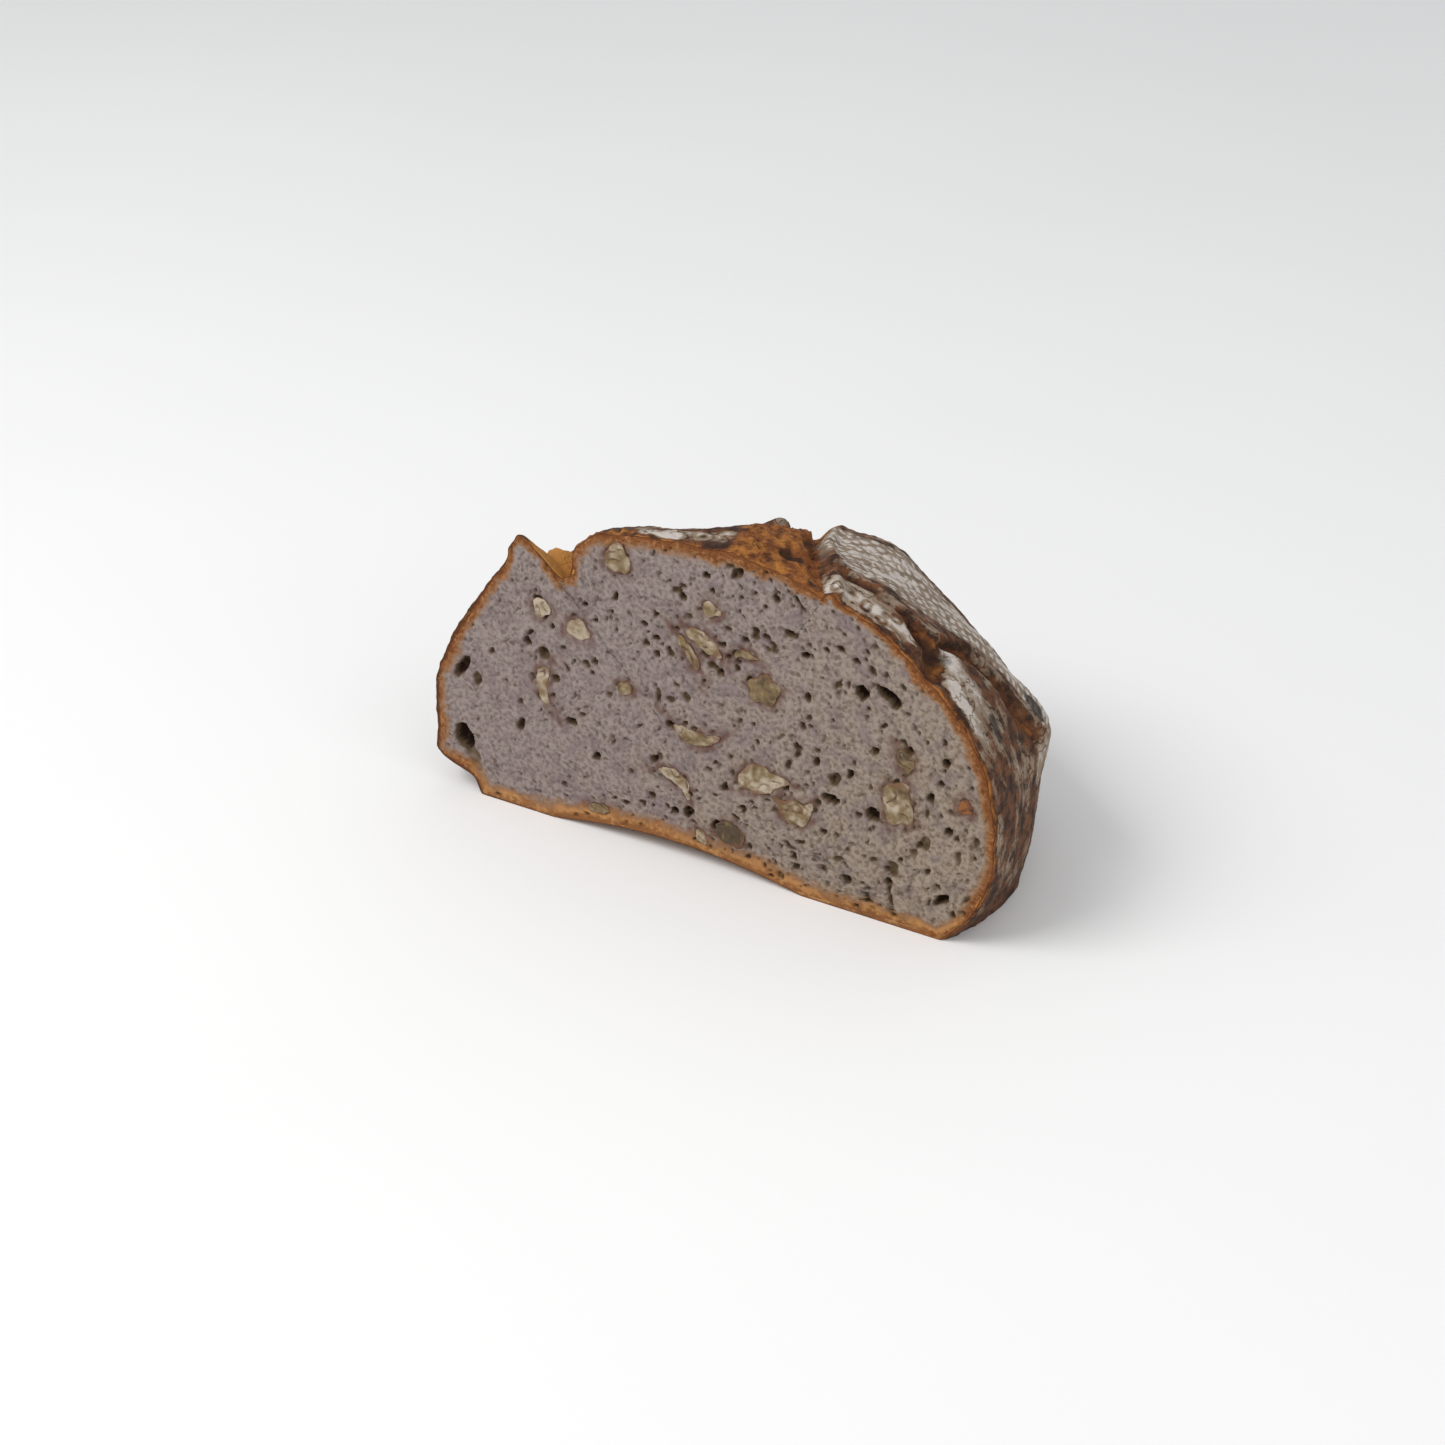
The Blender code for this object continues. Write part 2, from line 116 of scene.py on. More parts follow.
# Tears of the crust: a path of (turn, rise) points, the depth at each of them, and for its near
# and its far side the half width of the groove and how far the torn dough shows; the near side
# has the lip. Looked at along a path that leads back from the cut, near is the greater turn. shade
# is how dark the groove's bottom is painted for its depth: painted shade.
Tear = namedtuple("Tear", "path depths near_width far_width lip near_bare far_bare shade")
TEARS = (
    Tear(
        path=((131.4, -4), (131.4, 0), (132.2, 5), (128.6, 14), (122, 26), (110, 42), (92, 56)),
        depths=(13.5 * MM, 13.5 * MM, 16.7 * MM, 3 * MM, 6 * MM, 5 * MM, 5 * MM),
        near_width=2.4 * MM,
        far_width=13.4 * MM,
        lip=1.4 * MM,
        near_bare=7 * MM,
        far_bare=15 * MM,
        shade=0.1,
    ),
    Tear(
        path=((82, 56), (76, 38), (72, 27), (67.5, 16), (62, 6), (59, 1.5)),
        depths=(5 * MM, 5 * MM, 5 * MM, 3.6 * MM, 2.4 * MM, 1 * MM),
        near_width=2.4 * MM,
        far_width=5 * MM,
        lip=1.8 * MM,
        near_bare=1.6 * MM,
        far_bare=9 * MM,
        shade=0.8,
    ),
    Tear(
        path=((64, 12), (58, 10.5), (52, 10.5), (45, 10.6), (40, 8.5)),
        depths=(1 * MM, 2.6 * MM, 3.2 * MM, 3.6 * MM, 4 * MM),
        near_width=2.2 * MM,
        far_width=2.2 * MM,
        lip=0.8 * MM,
        near_bare=1.5 * MM,
        far_bare=1.7 * MM,
        shade=1.8,
    ),
    Tear(
        path=((40, 8.5), (36.5, 8), (34.5, 3)),
        depths=(4 * MM, 5 * MM, 3.4 * MM),
        near_width=4.4 * MM,
        far_width=4.4 * MM,
        lip=0,
        near_bare=5.6 * MM,
        far_bare=5.6 * MM,
        shade=1.2,
    ),
    Tear(
        path=((36, 13), (32, 17.5), (27, 20.3), (21, 21.3), (15.6, 21.7), (11, 22.6)),
        depths=(4 * MM, 4 * MM, 4 * MM, 3.6 * MM, 3 * MM, 1.6 * MM),
        near_width=2.6 * MM,
        far_width=3.2 * MM,
        lip=1 * MM,
        near_bare=1.9 * MM,
        far_bare=2.8 * MM,
        shade=1.3,
    ),
    Tear(
        path=((92, 56), (76, 60), (52, 60), (30, 52), (17, 44)),
        depths=(5 * MM, 6 * MM, 7 * MM, 6 * MM, 2 * MM),
        near_width=6 * MM,
        far_width=8 * MM,
        lip=2 * MM,
        near_bare=8 * MM,
        far_bare=13 * MM,
        shade=0.8,
    ),
    Tear(
        path=((92, 56), (118, 68), (150, 62), (166, 48)),
        depths=(5 * MM, 5 * MM, 3.4 * MM, 0.4 * MM),
        near_width=4.4 * MM,
        far_width=6 * MM,
        lip=1.6 * MM,
        near_bare=7 * MM,
        far_bare=9 * MM,
        shade=0.8,
    ),
    Tear(
        path=((145, 16), (153, 28), (158, 40)),
        depths=(0.6 * MM, 3.5 * MM, 0.6 * MM),
        near_width=3 * MM,
        far_width=3.4 * MM,
        lip=1 * MM,
        near_bare=4 * MM,
        far_bare=4 * MM,
        shade=0.8,
    ),
)
TEAR_POWER = 3
LEAST_BARE = 0.12  # share of its torn dough that a tear keeps where it peters out
LIP_OFFSET = 1.9
LIP_WIDTH = 0.9

# Zones of the crust's colour: a path of (turn, rise) points, the half width at each, and strength
Zone = namedtuple("Zone", "path half_widths strength")
BLOOM_ZONES = (
    Zone(
        ((70, 0), (74, 8), (78, 18), (83, 32), (86, 48), (86, 60)),
        (20 * MM, 17 * MM, 16 * MM, 16 * MM, 16 * MM, 14 * MM),
        1.0,
    ),
    Zone(((118, 0), (108, 1)), (7 * MM, 4 * MM), 0.9),  # browned edge to the right of the notch
    Zone(((131, 0), (132, 5), (129, 12)), (13 * MM, 11 * MM, 9 * MM), 1.6),  # young dough in it, its strength above 1 giving painted light
)
WHITE_PATCH = Zone(((104, 3.6), (96, 4.2), (90, 4)), (5 * MM, 6 * MM, 4.4 * MM), 1.25)
BLISTERS = Zone(((60, 4.4), (54, 4.7), (47, 4.8), (43, 4.2)), (7 * MM, 8 * MM, 8 * MM, 6 * MM), 1.15)
BASKET_PLATE = Zone(
    ((74, 34), (60, 30), (50, 32), (40, 34), (30, 36), (20, 34), (12, 29)),
    (14 * MM, 29 * MM, 30 * MM, 26 * MM, 21 * MM, 15 * MM, 7 * MM),
    1.0,
)
SMALL_PLATE = Zone(((33, 9), (27, 7), (20, 6)), (8 * MM, 11 * MM, 9 * MM), 0.95)
PALE_FLAKE = Zone(((35, 13), (33, 7.5), (31, 5), (28, 3.6)), (3 * MM, 4.6 * MM, 4.6 * MM, 4 * MM), 1.35)
EAR = Zone(((14, 31), (9, 28), (4, 24)), (5 * MM, 8 * MM, 7 * MM), 0.95)
BACK_PLATES = Zone(((160, 52), (110, 70), (60, 72)), (34 * MM, 44 * MM, 34 * MM), 0.85)
FLOUR_ZONES = (WHITE_PATCH, BLISTERS, BASKET_PLATE, SMALL_PLATE, PALE_FLAKE, EAR, BACK_PLATES)
FLOUR_ELSEWHERE = 0.42
# Near-black zones: burnt crust at the horn's tip and the ear's edge, and painted shade in a hollow, a
# recess and a hole
CHAR_AND_SHADE_ZONES = (
    Zone(((134.0, 0), (135.0, 1.5)), (2.2 * MM, 2.0 * MM), 1.0),  # tip of the horn
    Zone(((15, 29), (13, 27)), (3.6 * MM, 3 * MM), 1.0),  # edge of the ear
    Zone(((72, 9.4), (69.5, 8.8)), (3.4 * MM, 4 * MM), 0.95),  # painted shade in the hollow in the bloom
    Zone(((40, 8.5), (35, 9)), (3.4 * MM, 4.4 * MM), 0.6),  # painted shade in the recess beside the cut
    Zone(((21, 9.5), (18, 9)), (2.4 * MM, 2.4 * MM), 0.8),  # painted shade in the hole beside the small plate
)
ROW_SPACING = 4.4 * MM  # the weave of the proving basket, down the loaf
POST_SPACING = 6.4 * MM  # and round it, at its widest
DOT_SHARPNESS = 1.2
GOLDEN_RIM = 0.7  # how far, in degrees, the browned edge of the cut reaches
GOLDEN_RIM_SHARE = 0.75
FLOURED_FROM = (-24, -8)  # degrees above the loaf's middle between which the flour starts
# a groove this deep gets the darkest painted shade at its bottom
GROOVE_SHADE_FULL_DEPTH = 6 * MM

# Walnut pieces at the cut: middle, length and width in mm, slope in degrees, bend of the long
# axis as a share of the width, narrowing towards the right end, lobes round the edge, and how
# dark the kernel is: from 0, cream, over olive to 1, brown, and 2 where skin covers all of it.
Walnut = namedtuple("Walnut", "name x z length width slope bend taper lobes tan")
WALNUTS = (
    Walnut("walnut_top_wedge", -27.1, 102.2, 9.9, 9.0, -54, 0.0, -0.45, 3, 0.3),
    Walnut("walnut_left_round", -56.6, 78.3, 6.9, 6.8, 0, 0.0, 0.0, 3, 0.0),
    Walnut("walnut_left_pebble", -42.7, 74.0, 8.6, 7.0, -8, 0.0, -0.1, 3, 0.08),
    Walnut("walnut_long_sliver", 3.4, 81.7, 15.4, 5.2, -29, 0.12, 0.0, 2, 0.25),
    Walnut("walnut_thin_sliver", -2.0, 76.8, 13.0, 3.7, -59, 0.12, 0.2, 2, 0.42),
    Walnut("walnut_small_sliver", 18.5, 81.2, 7.4, 3.2, -2, 0.2, -0.3, 2, 0.55),
    Walnut("walnut_middle_lump", 24.7, 70.8, 11.1, 10.0, 8, 0.0, 0.0, 5, 0.6),
    Walnut("walnut_left_hook", -56.8, 50.5, 14.6, 4.6, -92, -0.5, 0.1, 3, 0.15),
    Walnut("walnut_small_crumb", -25.8, 57.4, 5.6, 4.7, 0, 0.0, 0.0, 2, 0.35),
    Walnut("walnut_kidney", 0.7, 47.3, 15.9, 5.6, 2, -0.45, -0.15, 2, 0.3),
    Walnut("walnut_comma", -6.6, 28.8, 13.2, 5.0, -37, 0.55, -0.1, 2, 0.12),
    Walnut("walnut_large_leaf", 24.6, 38.6, 17.6, 9.0, 13, 0.1, -0.5, 4, 0.1),
    Walnut("walnut_two_horned", 36.0, 30.9, 12.8, 8.4, 4, -0.35, 0.1, 5, 0.4),
    Walnut("walnut_right_block", 71.4, 44.5, 16.0, 10.2, -88, 0.0, 0.1, 4, 0.36),
    Walnut("walnut_right_tip", 73.3, 59.2, 9.2, 4.8, -85, 0.15, -0.4, 2, 0.68),
    Walnut("walnut_low_olive", 12.6, 14.9, 11.0, 8.2, -17, 0.1, 0.15, 3, 1.12),
    Walnut("walnut_low_chip", 2.2, 10.6, 6.0, 4.2, -46, 0.0, 0.0, 2, 0.4),
    Walnut("walnut_base_chip", -36.8, 9.0, 8.2, 3.6, 12, 0.0, 0.0, 2, 0.35),
    Walnut("walnut_pale_chip", 6.0, 93.4, 6.4, 5.2, -10, 0.0, 0.0, 3, 0.22),
    Walnut("walnut_brown_knob", 93.4, 49.9, 5.4, 4.6, 80, 0.0, 0.0, 3, 2.0),
)
LOBE_SHARE = 0.1
BEND_BALANCE = 0.4
WALNUT_DEPTH_SHARE = 0.45
WALNUT_LEAST_DEPTH = 1.5 * MM
WALNUT_CROWN = 0.3 * MM
FOLD_DEPTH = 0.6 * MM
FOLD_SPACING = 4.2 * MM
FOLDED_PARTS = 6 * MM
WALNUT_SEGMENTS = 72
WALNUT_RINGS = 44
NEST_DEPTH = 0.4 * MM  # how deep the crumb shrinks back round a walnut
NEST_GAP = 0.2 * MM
STAIN_REACH = 2.4 * MM  # how far the walnut's skin stains the crumb, in uneven patches
STAIN_PATCHES = 2.2 * MM
SKIN_THINS_OVER = (-92 * MM, -48 * MM)  # the x over which the dark line at the edge gets thinner

# Bubbles of the crumb that the photograph shows: middle, length, width, slope, depth in mm
Bubble = namedtuple("Bubble", "x z length width slope depth")
BUBBLES = tuple(
    Bubble(*row)
    for row in (
        (-90.3, 20.6, 11.6, 8.2, -70, 6.0),
        (-87.6, 14.4, 10.6, 7.4, -58, 1.1),
        (-85.2, 10.6, 5.6, 4.4, -30, 0.8),
        (-89.4, 48.0, 13.1, 4.1, -124, 3.4),
        (-83.4, 44.9, 6.8, 3.7, -87, 1.7),
        (-56.5, 61.6, 5.5, 4.9, 90, 2.2),
        (-52.2, 53.6, 3.8, 3.4, 0, 2.2),
        (-66.8, 32.3, 6.4, 3.3, -119, 2.2),
        (-46.7, 39.3, 4.8, 3.3, 0, 3.4),
        (-40.0, 62.2, 3.0, 3.3, 0, 1.9),
        (-36.7, 63.8, 2.6, 3.0, 0, 1.9),
        (15.1, 108.2, 6.7, 3.3, -133, 2.2),
        (-5.8, 97.0, 4.3, 3.3, 0, 2.2),
        (57.9, 79.0, 5.5, 5.0, -55, 5.5),
        (66.8, 80.5, 11.3, 4.4, -28, 5.5),
        (33.1, 92.7, 4.2, 2.6, 0, 2.2),
        (36.4, 103.4, 7.4, 1.6, -48, 2.0),
        (49.8, 46.4, 6.5, 4.1, -114, 2.4),
        (48.4, 39.0, 7.1, 3.7, 0, 4.5),
        (63.0, 38.0, 5.6, 5.5, 0, 5.0),
        (80.8, 33.0, 7.5, 4.1, -93, 1.5),
        (77.1, 28.2, 4.9, 3.3, -90, 1.3),
        (70.6, 20.3, 7.6, 4.4, -71, 1.6),
        (69.9, 9.5, 12.5, 1.9, -77, 1.4),
        (87.3, 14.6, 7.4, 3.7, 42, 3.5),
        (92.0, 31.4, 5.8, 2.6, -85, 1.3),
        (97.5, 38.1, 6.2, 2.8, -85, 1.3),
        (51.7, 18.2, 4.8, 2.6, 15, 1.5),
        (62.6, 6.2, 4.0, 2.2, 10, 2.0),
        (-2.6, 18.4, 6.2, 4.1, -115, 3.4),
        (-13.3, 58.4, 7.1, 2.6, -91, 1.7),
        (-8.9, 58.1, 3.6, 3.0, 0, 1.6),
        (-3.1, 60.5, 4.5, 3.0, -43, 1.6),
        (-18.3, 82.5, 3.6, 2.4, 0, 1.7),
        (-13.6, 73.2, 3.4, 2.8, 0, 1.8),
        (9.2, 72.6, 3.6, 2.8, 20, 3.2),
        (21.7, 88.4, 3.4, 2.8, 0, 1.8),
        (30.5, 55.9, 5.3, 1.9, 46, 1.3),
        (14.6, 22.0, 3.5, 2.2, -42, 2.0),
        (-58.1, 81.5, 4.4, 1.9, 10, 2.4),
        (-61.3, 68.1, 3.7, 1.4, 45, 2.6),
        (-47.3, 58.2, 2.0, 1.8, 0, 1.6),
        (-44.8, 62.2, 2.0, 1.7, 90, 1.3),
        (-61.3, 52.0, 3.3, 2.1, 90, 1.3),
        (-45.0, 49.2, 3.4, 2.0, 85, 1.2),
        (-53.4, 47.1, 2.5, 1.8, 90, 1.6),
        (-49.0, 65.8, 2.3, 1.7, 10, 1.4),
        (-29.2, 88.3, 2.8, 1.9, 20, 1.2),
        (-6.4, 83.6, 2.9, 1.8, 15, 2.2),
        (12.1, 78.9, 2.5, 1.8, 0, 2.4),
        (6.8, 74.4, 4.6, 2.9, -15, 2.2),
        (15.6, 78.1, 2.5, 1.8, 0, 1.8),
        (19.6, 72.9, 3.2, 2.6, 0, 2.2),
        (-0.2, 50.4, 2.2, 2.1, 0, 2.2),
        (7.5, 39.8, 2.5, 2.1, 0, 2.2),
        (-1.9, 25.1, 3.4, 2.0, 45, 2.4),
        (-20.0, 16.4, 3.0, 2.1, -30, 2.2),
        (-7.6, 27.9, 3.9, 3.4, 0, 1.0),
        (17.9, 25.9, 2.7, 2.0, 80, 2.0),
        (21.8, 27.5, 1.9, 1.7, 0, 2.4),
        (26.2, 31.5, 3.1, 0.9, 0, 1.6),
        (43.2, 50.6, 3.6, 2.6, 70, 2.4),
        (33.6, 47.2, 2.7, 2.0, -70, 2.0),
        (40.1, 46.0, 3.0, 2.3, 80, 1.3),
        (34.9, 17.0, 3.7, 2.0, -15, 2.2),
        (38.4, 19.9, 3.4, 1.9, 15, 1.4),
        (14.0, 16.9, 5.1, 2.6, -40, 2.2),
        (32.9, 38.2, 3.0, 2.3, -30, 2.2),
    )
)

# Random pores of the crumb: how many, their smallest and largest length, and their depth as a
# share of their width
Pores = namedtuple("Pores", "count least most depth_share")
PORE_SIZES = (
    Pores(440, 1.9 * MM, 4.0 * MM, 0.8),
    Pores(1900, 1.2 * MM, 2.1 * MM, 0.65),
)
PORE_SEED = 11
UPRIGHT_FROM_X = 12 * MM  # the pores right of this and below UPRIGHT_TO_Z stand upright
UPRIGHT_TO_Z = 84 * MM
SPARSE_LEFT = 0.25  # share of the random pores that the far left keeps
RASTER_STEP = 0.22 * MM
PORE_SHADE_FULL_DEPTH = 2.6 * MM  # a pore this deep gets the darkest painted shade
PORES_FROM_EDGE = (0.8 * MM, 2.2 * MM)  # how far from the edge of the cut the pores start
FLAT_EDGE = 1.5 * MM
CRUMB_PROUD = 0.05 * MM  # how far the crumb stands in front of the crust

# Grid that holds the pores: its corner and its span over the cut face, and how far and over what
# length noise pushes the pores out of shape
GRID_CORNER = (-108 * MM, -4 * MM)
GRID_SPAN = (216 * MM, 124 * MM)
PORE_PUSH = 0.7 * MM
PORE_PUSH_SIZE = 1.7 * MM

# Sizes of the finishes' patterns, and how far each finish stands up
CRUMB_PUSH = (2.2 * MM, 1.3 * MM)  # over what length, and how far, noise pushes its pattern about
CRUMB_FROTH = 1.7 * MM
CRUMB_PITS = 3.1 * MM
CRUMB_FIBRE = 1.5 * MM
CRUMB_MOTTLE = 6 * MM
CRUMB_BUMP = 0.5 * MM
LIGHTER_DOWN_OVER = (14 * MM, 5 * MM)  # heights over which the browned band of the base gets lighter
CRUST_BLOTCHES = (16 * MM, 4.5 * MM, 1.1 * MM)  # broad, middling and fine
FLOUR_PUSH = (7 * MM, 2.4 * MM)
FLOUR_FLAKES = 9 * MM
FLOUR_PATCHES = 8 * MM
FLOUR_STREAKS = 8.5 * MM
STREAK_SQUEEZE = 0.42  # a streak's width as a share of its length
STREAKED_OVER = (30 * MM, 70 * MM)  # ways down the crust over which patches turn into streaks
BLISTER_SPACING = 5.4 * MM
WEAVE_WANDER = 11 * MM
CRUST_BUMP = 0.7 * MM
KERNEL_GRAIN = 1.3 * MM
KERNEL_CLOUDS = 3.2 * MM
KERNEL_BUMP = 0.4 * MM

# Camera: worked out from the cut face's outline and base edge in the photograph
CAMERA_PLACE = (0.33344, -0.56003 - CUT_SETBACK, 0.42926)
CAMERA_AZIMUTH = 30.0
CAMERA_ELEVATION = 30.04
CAMERA_LENS = 59.79


def linear(hex_colour):
    """An sRGB hex colour as linear red, green, blue and alpha."""
    channels = [int(hex_colour[i : i + 2], 16) / 255 for i in (1, 3, 5)]
    return (*[c / 12.92 if c <= 0.04045 else ((c + 0.055) / 1.055) ** 2.4 for c in channels], 1)


# Shape of the crust


def way_to(turn, rise):
    """The unit direction, from the loaf's middle, of a point on the crust."""
    across = math.cos(math.radians(rise))
    return np.array(
        (
            math.cos(math.radians(turn)) * across,
            math.sin(math.radians(rise)),
            math.sin(math.radians(turn)) * across,
        )
    )


def turns_and_rises(ways):
    turns = np.degrees(np.arctan2(ways[:, 2], ways[:, 0]))
    rises = np.degrees(np.arcsin(np.clip(ways[:, 1], -1, 1)))
    return turns, rises


def smooth_step(low, high, values):
    share = np.clip((values - low) / (high - low), 0, 1)
    return share * share * (3 - 2 * share)


def ripple(points, size, seed=0):
    """Smooth noise at each point, from about -1 to 1, whose waves are size long."""
    shift = Vector((1.7 * seed, 3.1 * seed, 7.3 * seed))
    return np.array([noise.noise(Vector(point) / size + shift) for point in points])


def ripples(points, waves):
    """The sum of several waves of noise."""
    return sum(height * ripple(points, size, seed) for height, size, seed in waves)


def superellipse(side, height, half_width, half_height, power):
    return ((side / half_width) ** power + (height / half_height) ** power) ** (-1 / power)


def smooth_radius(ways):
    """Distance from the loaf's middle to its crust before any swelling or tear."""
    back = np.abs(ways[:, 1])
    across = np.maximum(np.hypot(ways[:, 0], ways[:, 2]), 1e-9)
    side = np.abs(ways[:, 0]) / across
    height = ways[:, 2] / across
    drop = FOOT_DROP + FOOT_FULLNESS * np.clip(FOOT_RAMP * back, 0, 1)
    reach = np.where(
        height >= 0,
        superellipse(side, np.abs(height), HALF_WIDTH, CROWN_RISE, OUTLINE_POWER),
        superellipse(side, np.abs(height), HALF_WIDTH, drop, OUTLINE_POWER),
    )
    power = OUTLINE_POWER + np.where(
        height >= 0, -CROWN_POWER_LOSS * height, -FOOT_POWER_GAIN * height
    )
    return ((across / reach) ** power + (back / LOAF_DEPTH) ** power) ** (-1 / power)


def off_centre(ways, turn, rise):
    """How far each direction is from a middle, in degrees along and across the crust."""
    turns, rises = turns_and_rises(ways)
    off_turn = ((turns - turn + 180) % 360 - 180) * np.cos(np.radians(rises))
    return off_turn, rises - rise


def swell_relief(ways, swell):
    off_turn, off_rise = off_centre(ways, swell.turn, swell.rise)
    spread = (off_turn / swell.turn_spread) ** 2 + (off_rise / swell.rise_spread) ** 2
    return swell.height * np.exp(-spread / 2)


def distance_to_path(ways, path):
    """For each direction: how far it is from the path in metres at the crust, how far along
    the path, counted in its points, and on which side."""
    points = [way_to(*point) for point in path]
    nearest = np.full(len(ways), np.inf)
    along = np.zeros(len(ways))
    side = np.zeros(len(ways))
    for index, (start, end) in enumerate(zip(points, points[1:])):
        run = end - start
        share = np.clip((ways - start) @ run / (run @ run), 0, 1)
        gap = np.linalg.norm(ways - start - share[:, None] * run, axis=1)
        closer = gap < nearest
        nearest = np.where(closer, gap, nearest)
        along = np.where(closer, index + share, along)
        side = np.where(closer, ways @ np.cross(start, end), side)
    return nearest * HALF_WIDTH, along, side


def tear_relief(ways, tear, uneven=0):
    """Height of a tear's groove and lip, how bare the dough is, and how deep the groove is."""
    distance, along, side = distance_to_path(ways, tear.path)
    depth = np.interp(along, range(len(tear.depths)), tear.depths)
    width = np.where(side > 0, tear.near_width, tear.far_width)
    groove = -depth * np.exp(-((distance / width) ** TEAR_POWER))
    off_lip = (distance / tear.near_width - LIP_OFFSET) / LIP_WIDTH
    lip = np.where(side > 0, tear.lip * np.exp(-(off_lip**2)), 0)
    bare_reach = np.where(side > 0, tear.near_bare, tear.far_bare)
    bare_reach *= LEAST_BARE + (1 - LEAST_BARE) * depth / max(tear.depths)
    bare = 1 - smooth_step(0.6, 1.1, distance / bare_reach + 1.6 * uneven)
    return groove + lip, bare, -groove


def zone_share(ways, zone, uneven):
    """The zone's strength inside it and 0 outside, with an uneven edge."""
    distance, along, _ = distance_to_path(ways, zone.path)
    half_width = np.interp(along, range(len(zone.half_widths)), zone.half_widths)
    return zone.strength * (1 - smooth_step(0.65, 1.15, distance / half_width + uneven))


def greatest(start, ways, zones, uneven):
    """The greatest share that any of the zones has in each direction."""
    share = start
    for zone in zones:
        share = np.maximum(share, zone_share(ways, zone, uneven))
    return share


def crust_zones(ways):
    """The crust's radius in each direction, and the shares of its zones."""
    rises = turns_and_rises(ways)[1]
    uneven = ripples(ways, EDGE_WAVES)
    wander = [
        ripples(ways, [(height, size, seed + axis) for height, size, seed in WANDER_WAVES])
        for axis in range(3)
    ]
    warped = ways + np.stack(wander, axis=1) * smooth_step(0, WANDER_FROM_RISE, rises)[:, None]
    radius = smooth_radius(ways)
    for height, waves in CRUST_WAVES:
        radius += height * ripple(ways, 1 / waves)
    for swell in SWELLS:
        radius += swell_relief(ways, swell)
    bare = np.zeros(len(ways))
    groove = np.zeros(len(ways))
    for tear in TEARS:
        relief, tear_bare, tear_shade_depth = tear_relief(warped, tear, uneven)
        radius += relief
        bare = np.maximum(bare, tear_bare)
        # painted shade: the groove's depth times the tear's shade darkens its bottom
        groove = np.maximum(groove, tear.shade * tear_shade_depth)
    blisters = zone_share(ways, BLISTERS, uneven)
    basket = zone_share(ways, BASKET_PLATE, uneven)
    flour = greatest(np.full(len(ways), FLOUR_ELSEWHERE), ways, FLOUR_ZONES, uneven)
    bloom = greatest(np.zeros(len(ways)), ways, BLOOM_ZONES, uneven)
    white = zone_share(ways, WHITE_PATCH, uneven)
    bloom = np.maximum(bloom - np.maximum(blisters, white), 0)
    bare = np.maximum(bare, bloom)
    rim_share = 1 - smooth_step(0.4 * GOLDEN_RIM, GOLDEN_RIM, rises + 2 * uneven)
    bare = np.maximum(bare, GOLDEN_RIM_SHARE * rim_share)
    flour *= smooth_step(*FLOURED_FROM, np.degrees(np.arcsin(np.clip(ways[:, 2], -1, 1))))
    # near-black share: burnt crust, and painted shade in a hollow, a recess and a hole
    char_and_shade = greatest(np.zeros(len(ways)), ways, CHAR_AND_SHADE_ZONES, 1.5 * uneven)
    crag_height, crag_size, crag_seed = CRAG_WAVE
    crag = crag_height * (1 - 2 * np.abs(ripple(ways, crag_size, crag_seed)))
    rugged = np.minimum(bare, 1) * smooth_step(0, 2, rises)
    radius += rugged * (crag + ripples(ways, DOUGH_WAVES)) + ripples(ways, SKIN_WAVES)
    radius += SKIN_THICKNESS * (1 - np.minimum(bare, 1)) - SKIN_SINK
    return radius, {
        "bare": bare,
        "flour": flour,
        "char_and_shade": char_and_shade,
        "blisters": np.maximum(blisters, 0.6 * white),
        "basket": basket,
        # painted shade at the bottoms of the tears' grooves
        "groove": np.clip(groove / GROOVE_SHADE_FULL_DEPTH, 0, 1),
    }


def arch_height(x, y):
    """Height of the hollow under the base at x, y metres behind the cut."""
    out = ((x - ARCH_CENTRE_X) / ARCH_HALF_WIDTH) ** 2 + (y / ARCH_LENGTH) ** 2
    return ARCH_HEIGHT * np.clip(1 - out, 0, 1)


def base_radius(ways, radius):
    """How far it is to the base in each direction that meets it before the crust."""
    down = np.maximum(-ways[:, 2], 1e-6)
    reach = np.minimum(radius, GIRTH_HEIGHT / down)
    for _ in range(3):
        arch = arch_height(ways[:, 0] * reach, ways[:, 1] * reach)
        reach = np.minimum(radius, (GIRTH_HEIGHT - arch) / down)
    return reach


def loaf_radius(ways):
    """The crust's zones, with the radius stopped at the base, and the base's own share."""
    radius, zones = crust_zones(ways)
    stopped = base_radius(ways, radius)
    base = smooth_step(0, BASE_EDGE, radius - stopped)
    return stopped, base, zones


# Mesh helpers


def new_piece(name, mesh, material, *nodes):
    """Makes an object of the bmesh and has it stand for CAD nodes."""
    data = bpy.data.meshes.new(name)
    mesh.to_mesh(data)
    mesh.free()
    data.shade_smooth()
    data.materials.append(material)
    piece = bpy.data.objects.new(name, data)
    bpy.context.scene.collection.objects.link(piece)
    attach(piece, "root")
    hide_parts(*nodes)
    return piece


def paint(mesh, name, values):
    """Gives each vertex a number under this name, for the material to read."""
    layer = mesh.verts.layers.float.new(name)
    for vertex, value in zip(mesh.verts, values):
        vertex[layer] = value


def vertex_places(mesh):
    return np.array([vertex.co for vertex in mesh.verts])


def place_vertices(vertices, places):
    for vertex, place in zip(vertices, places):
        vertex.co = place


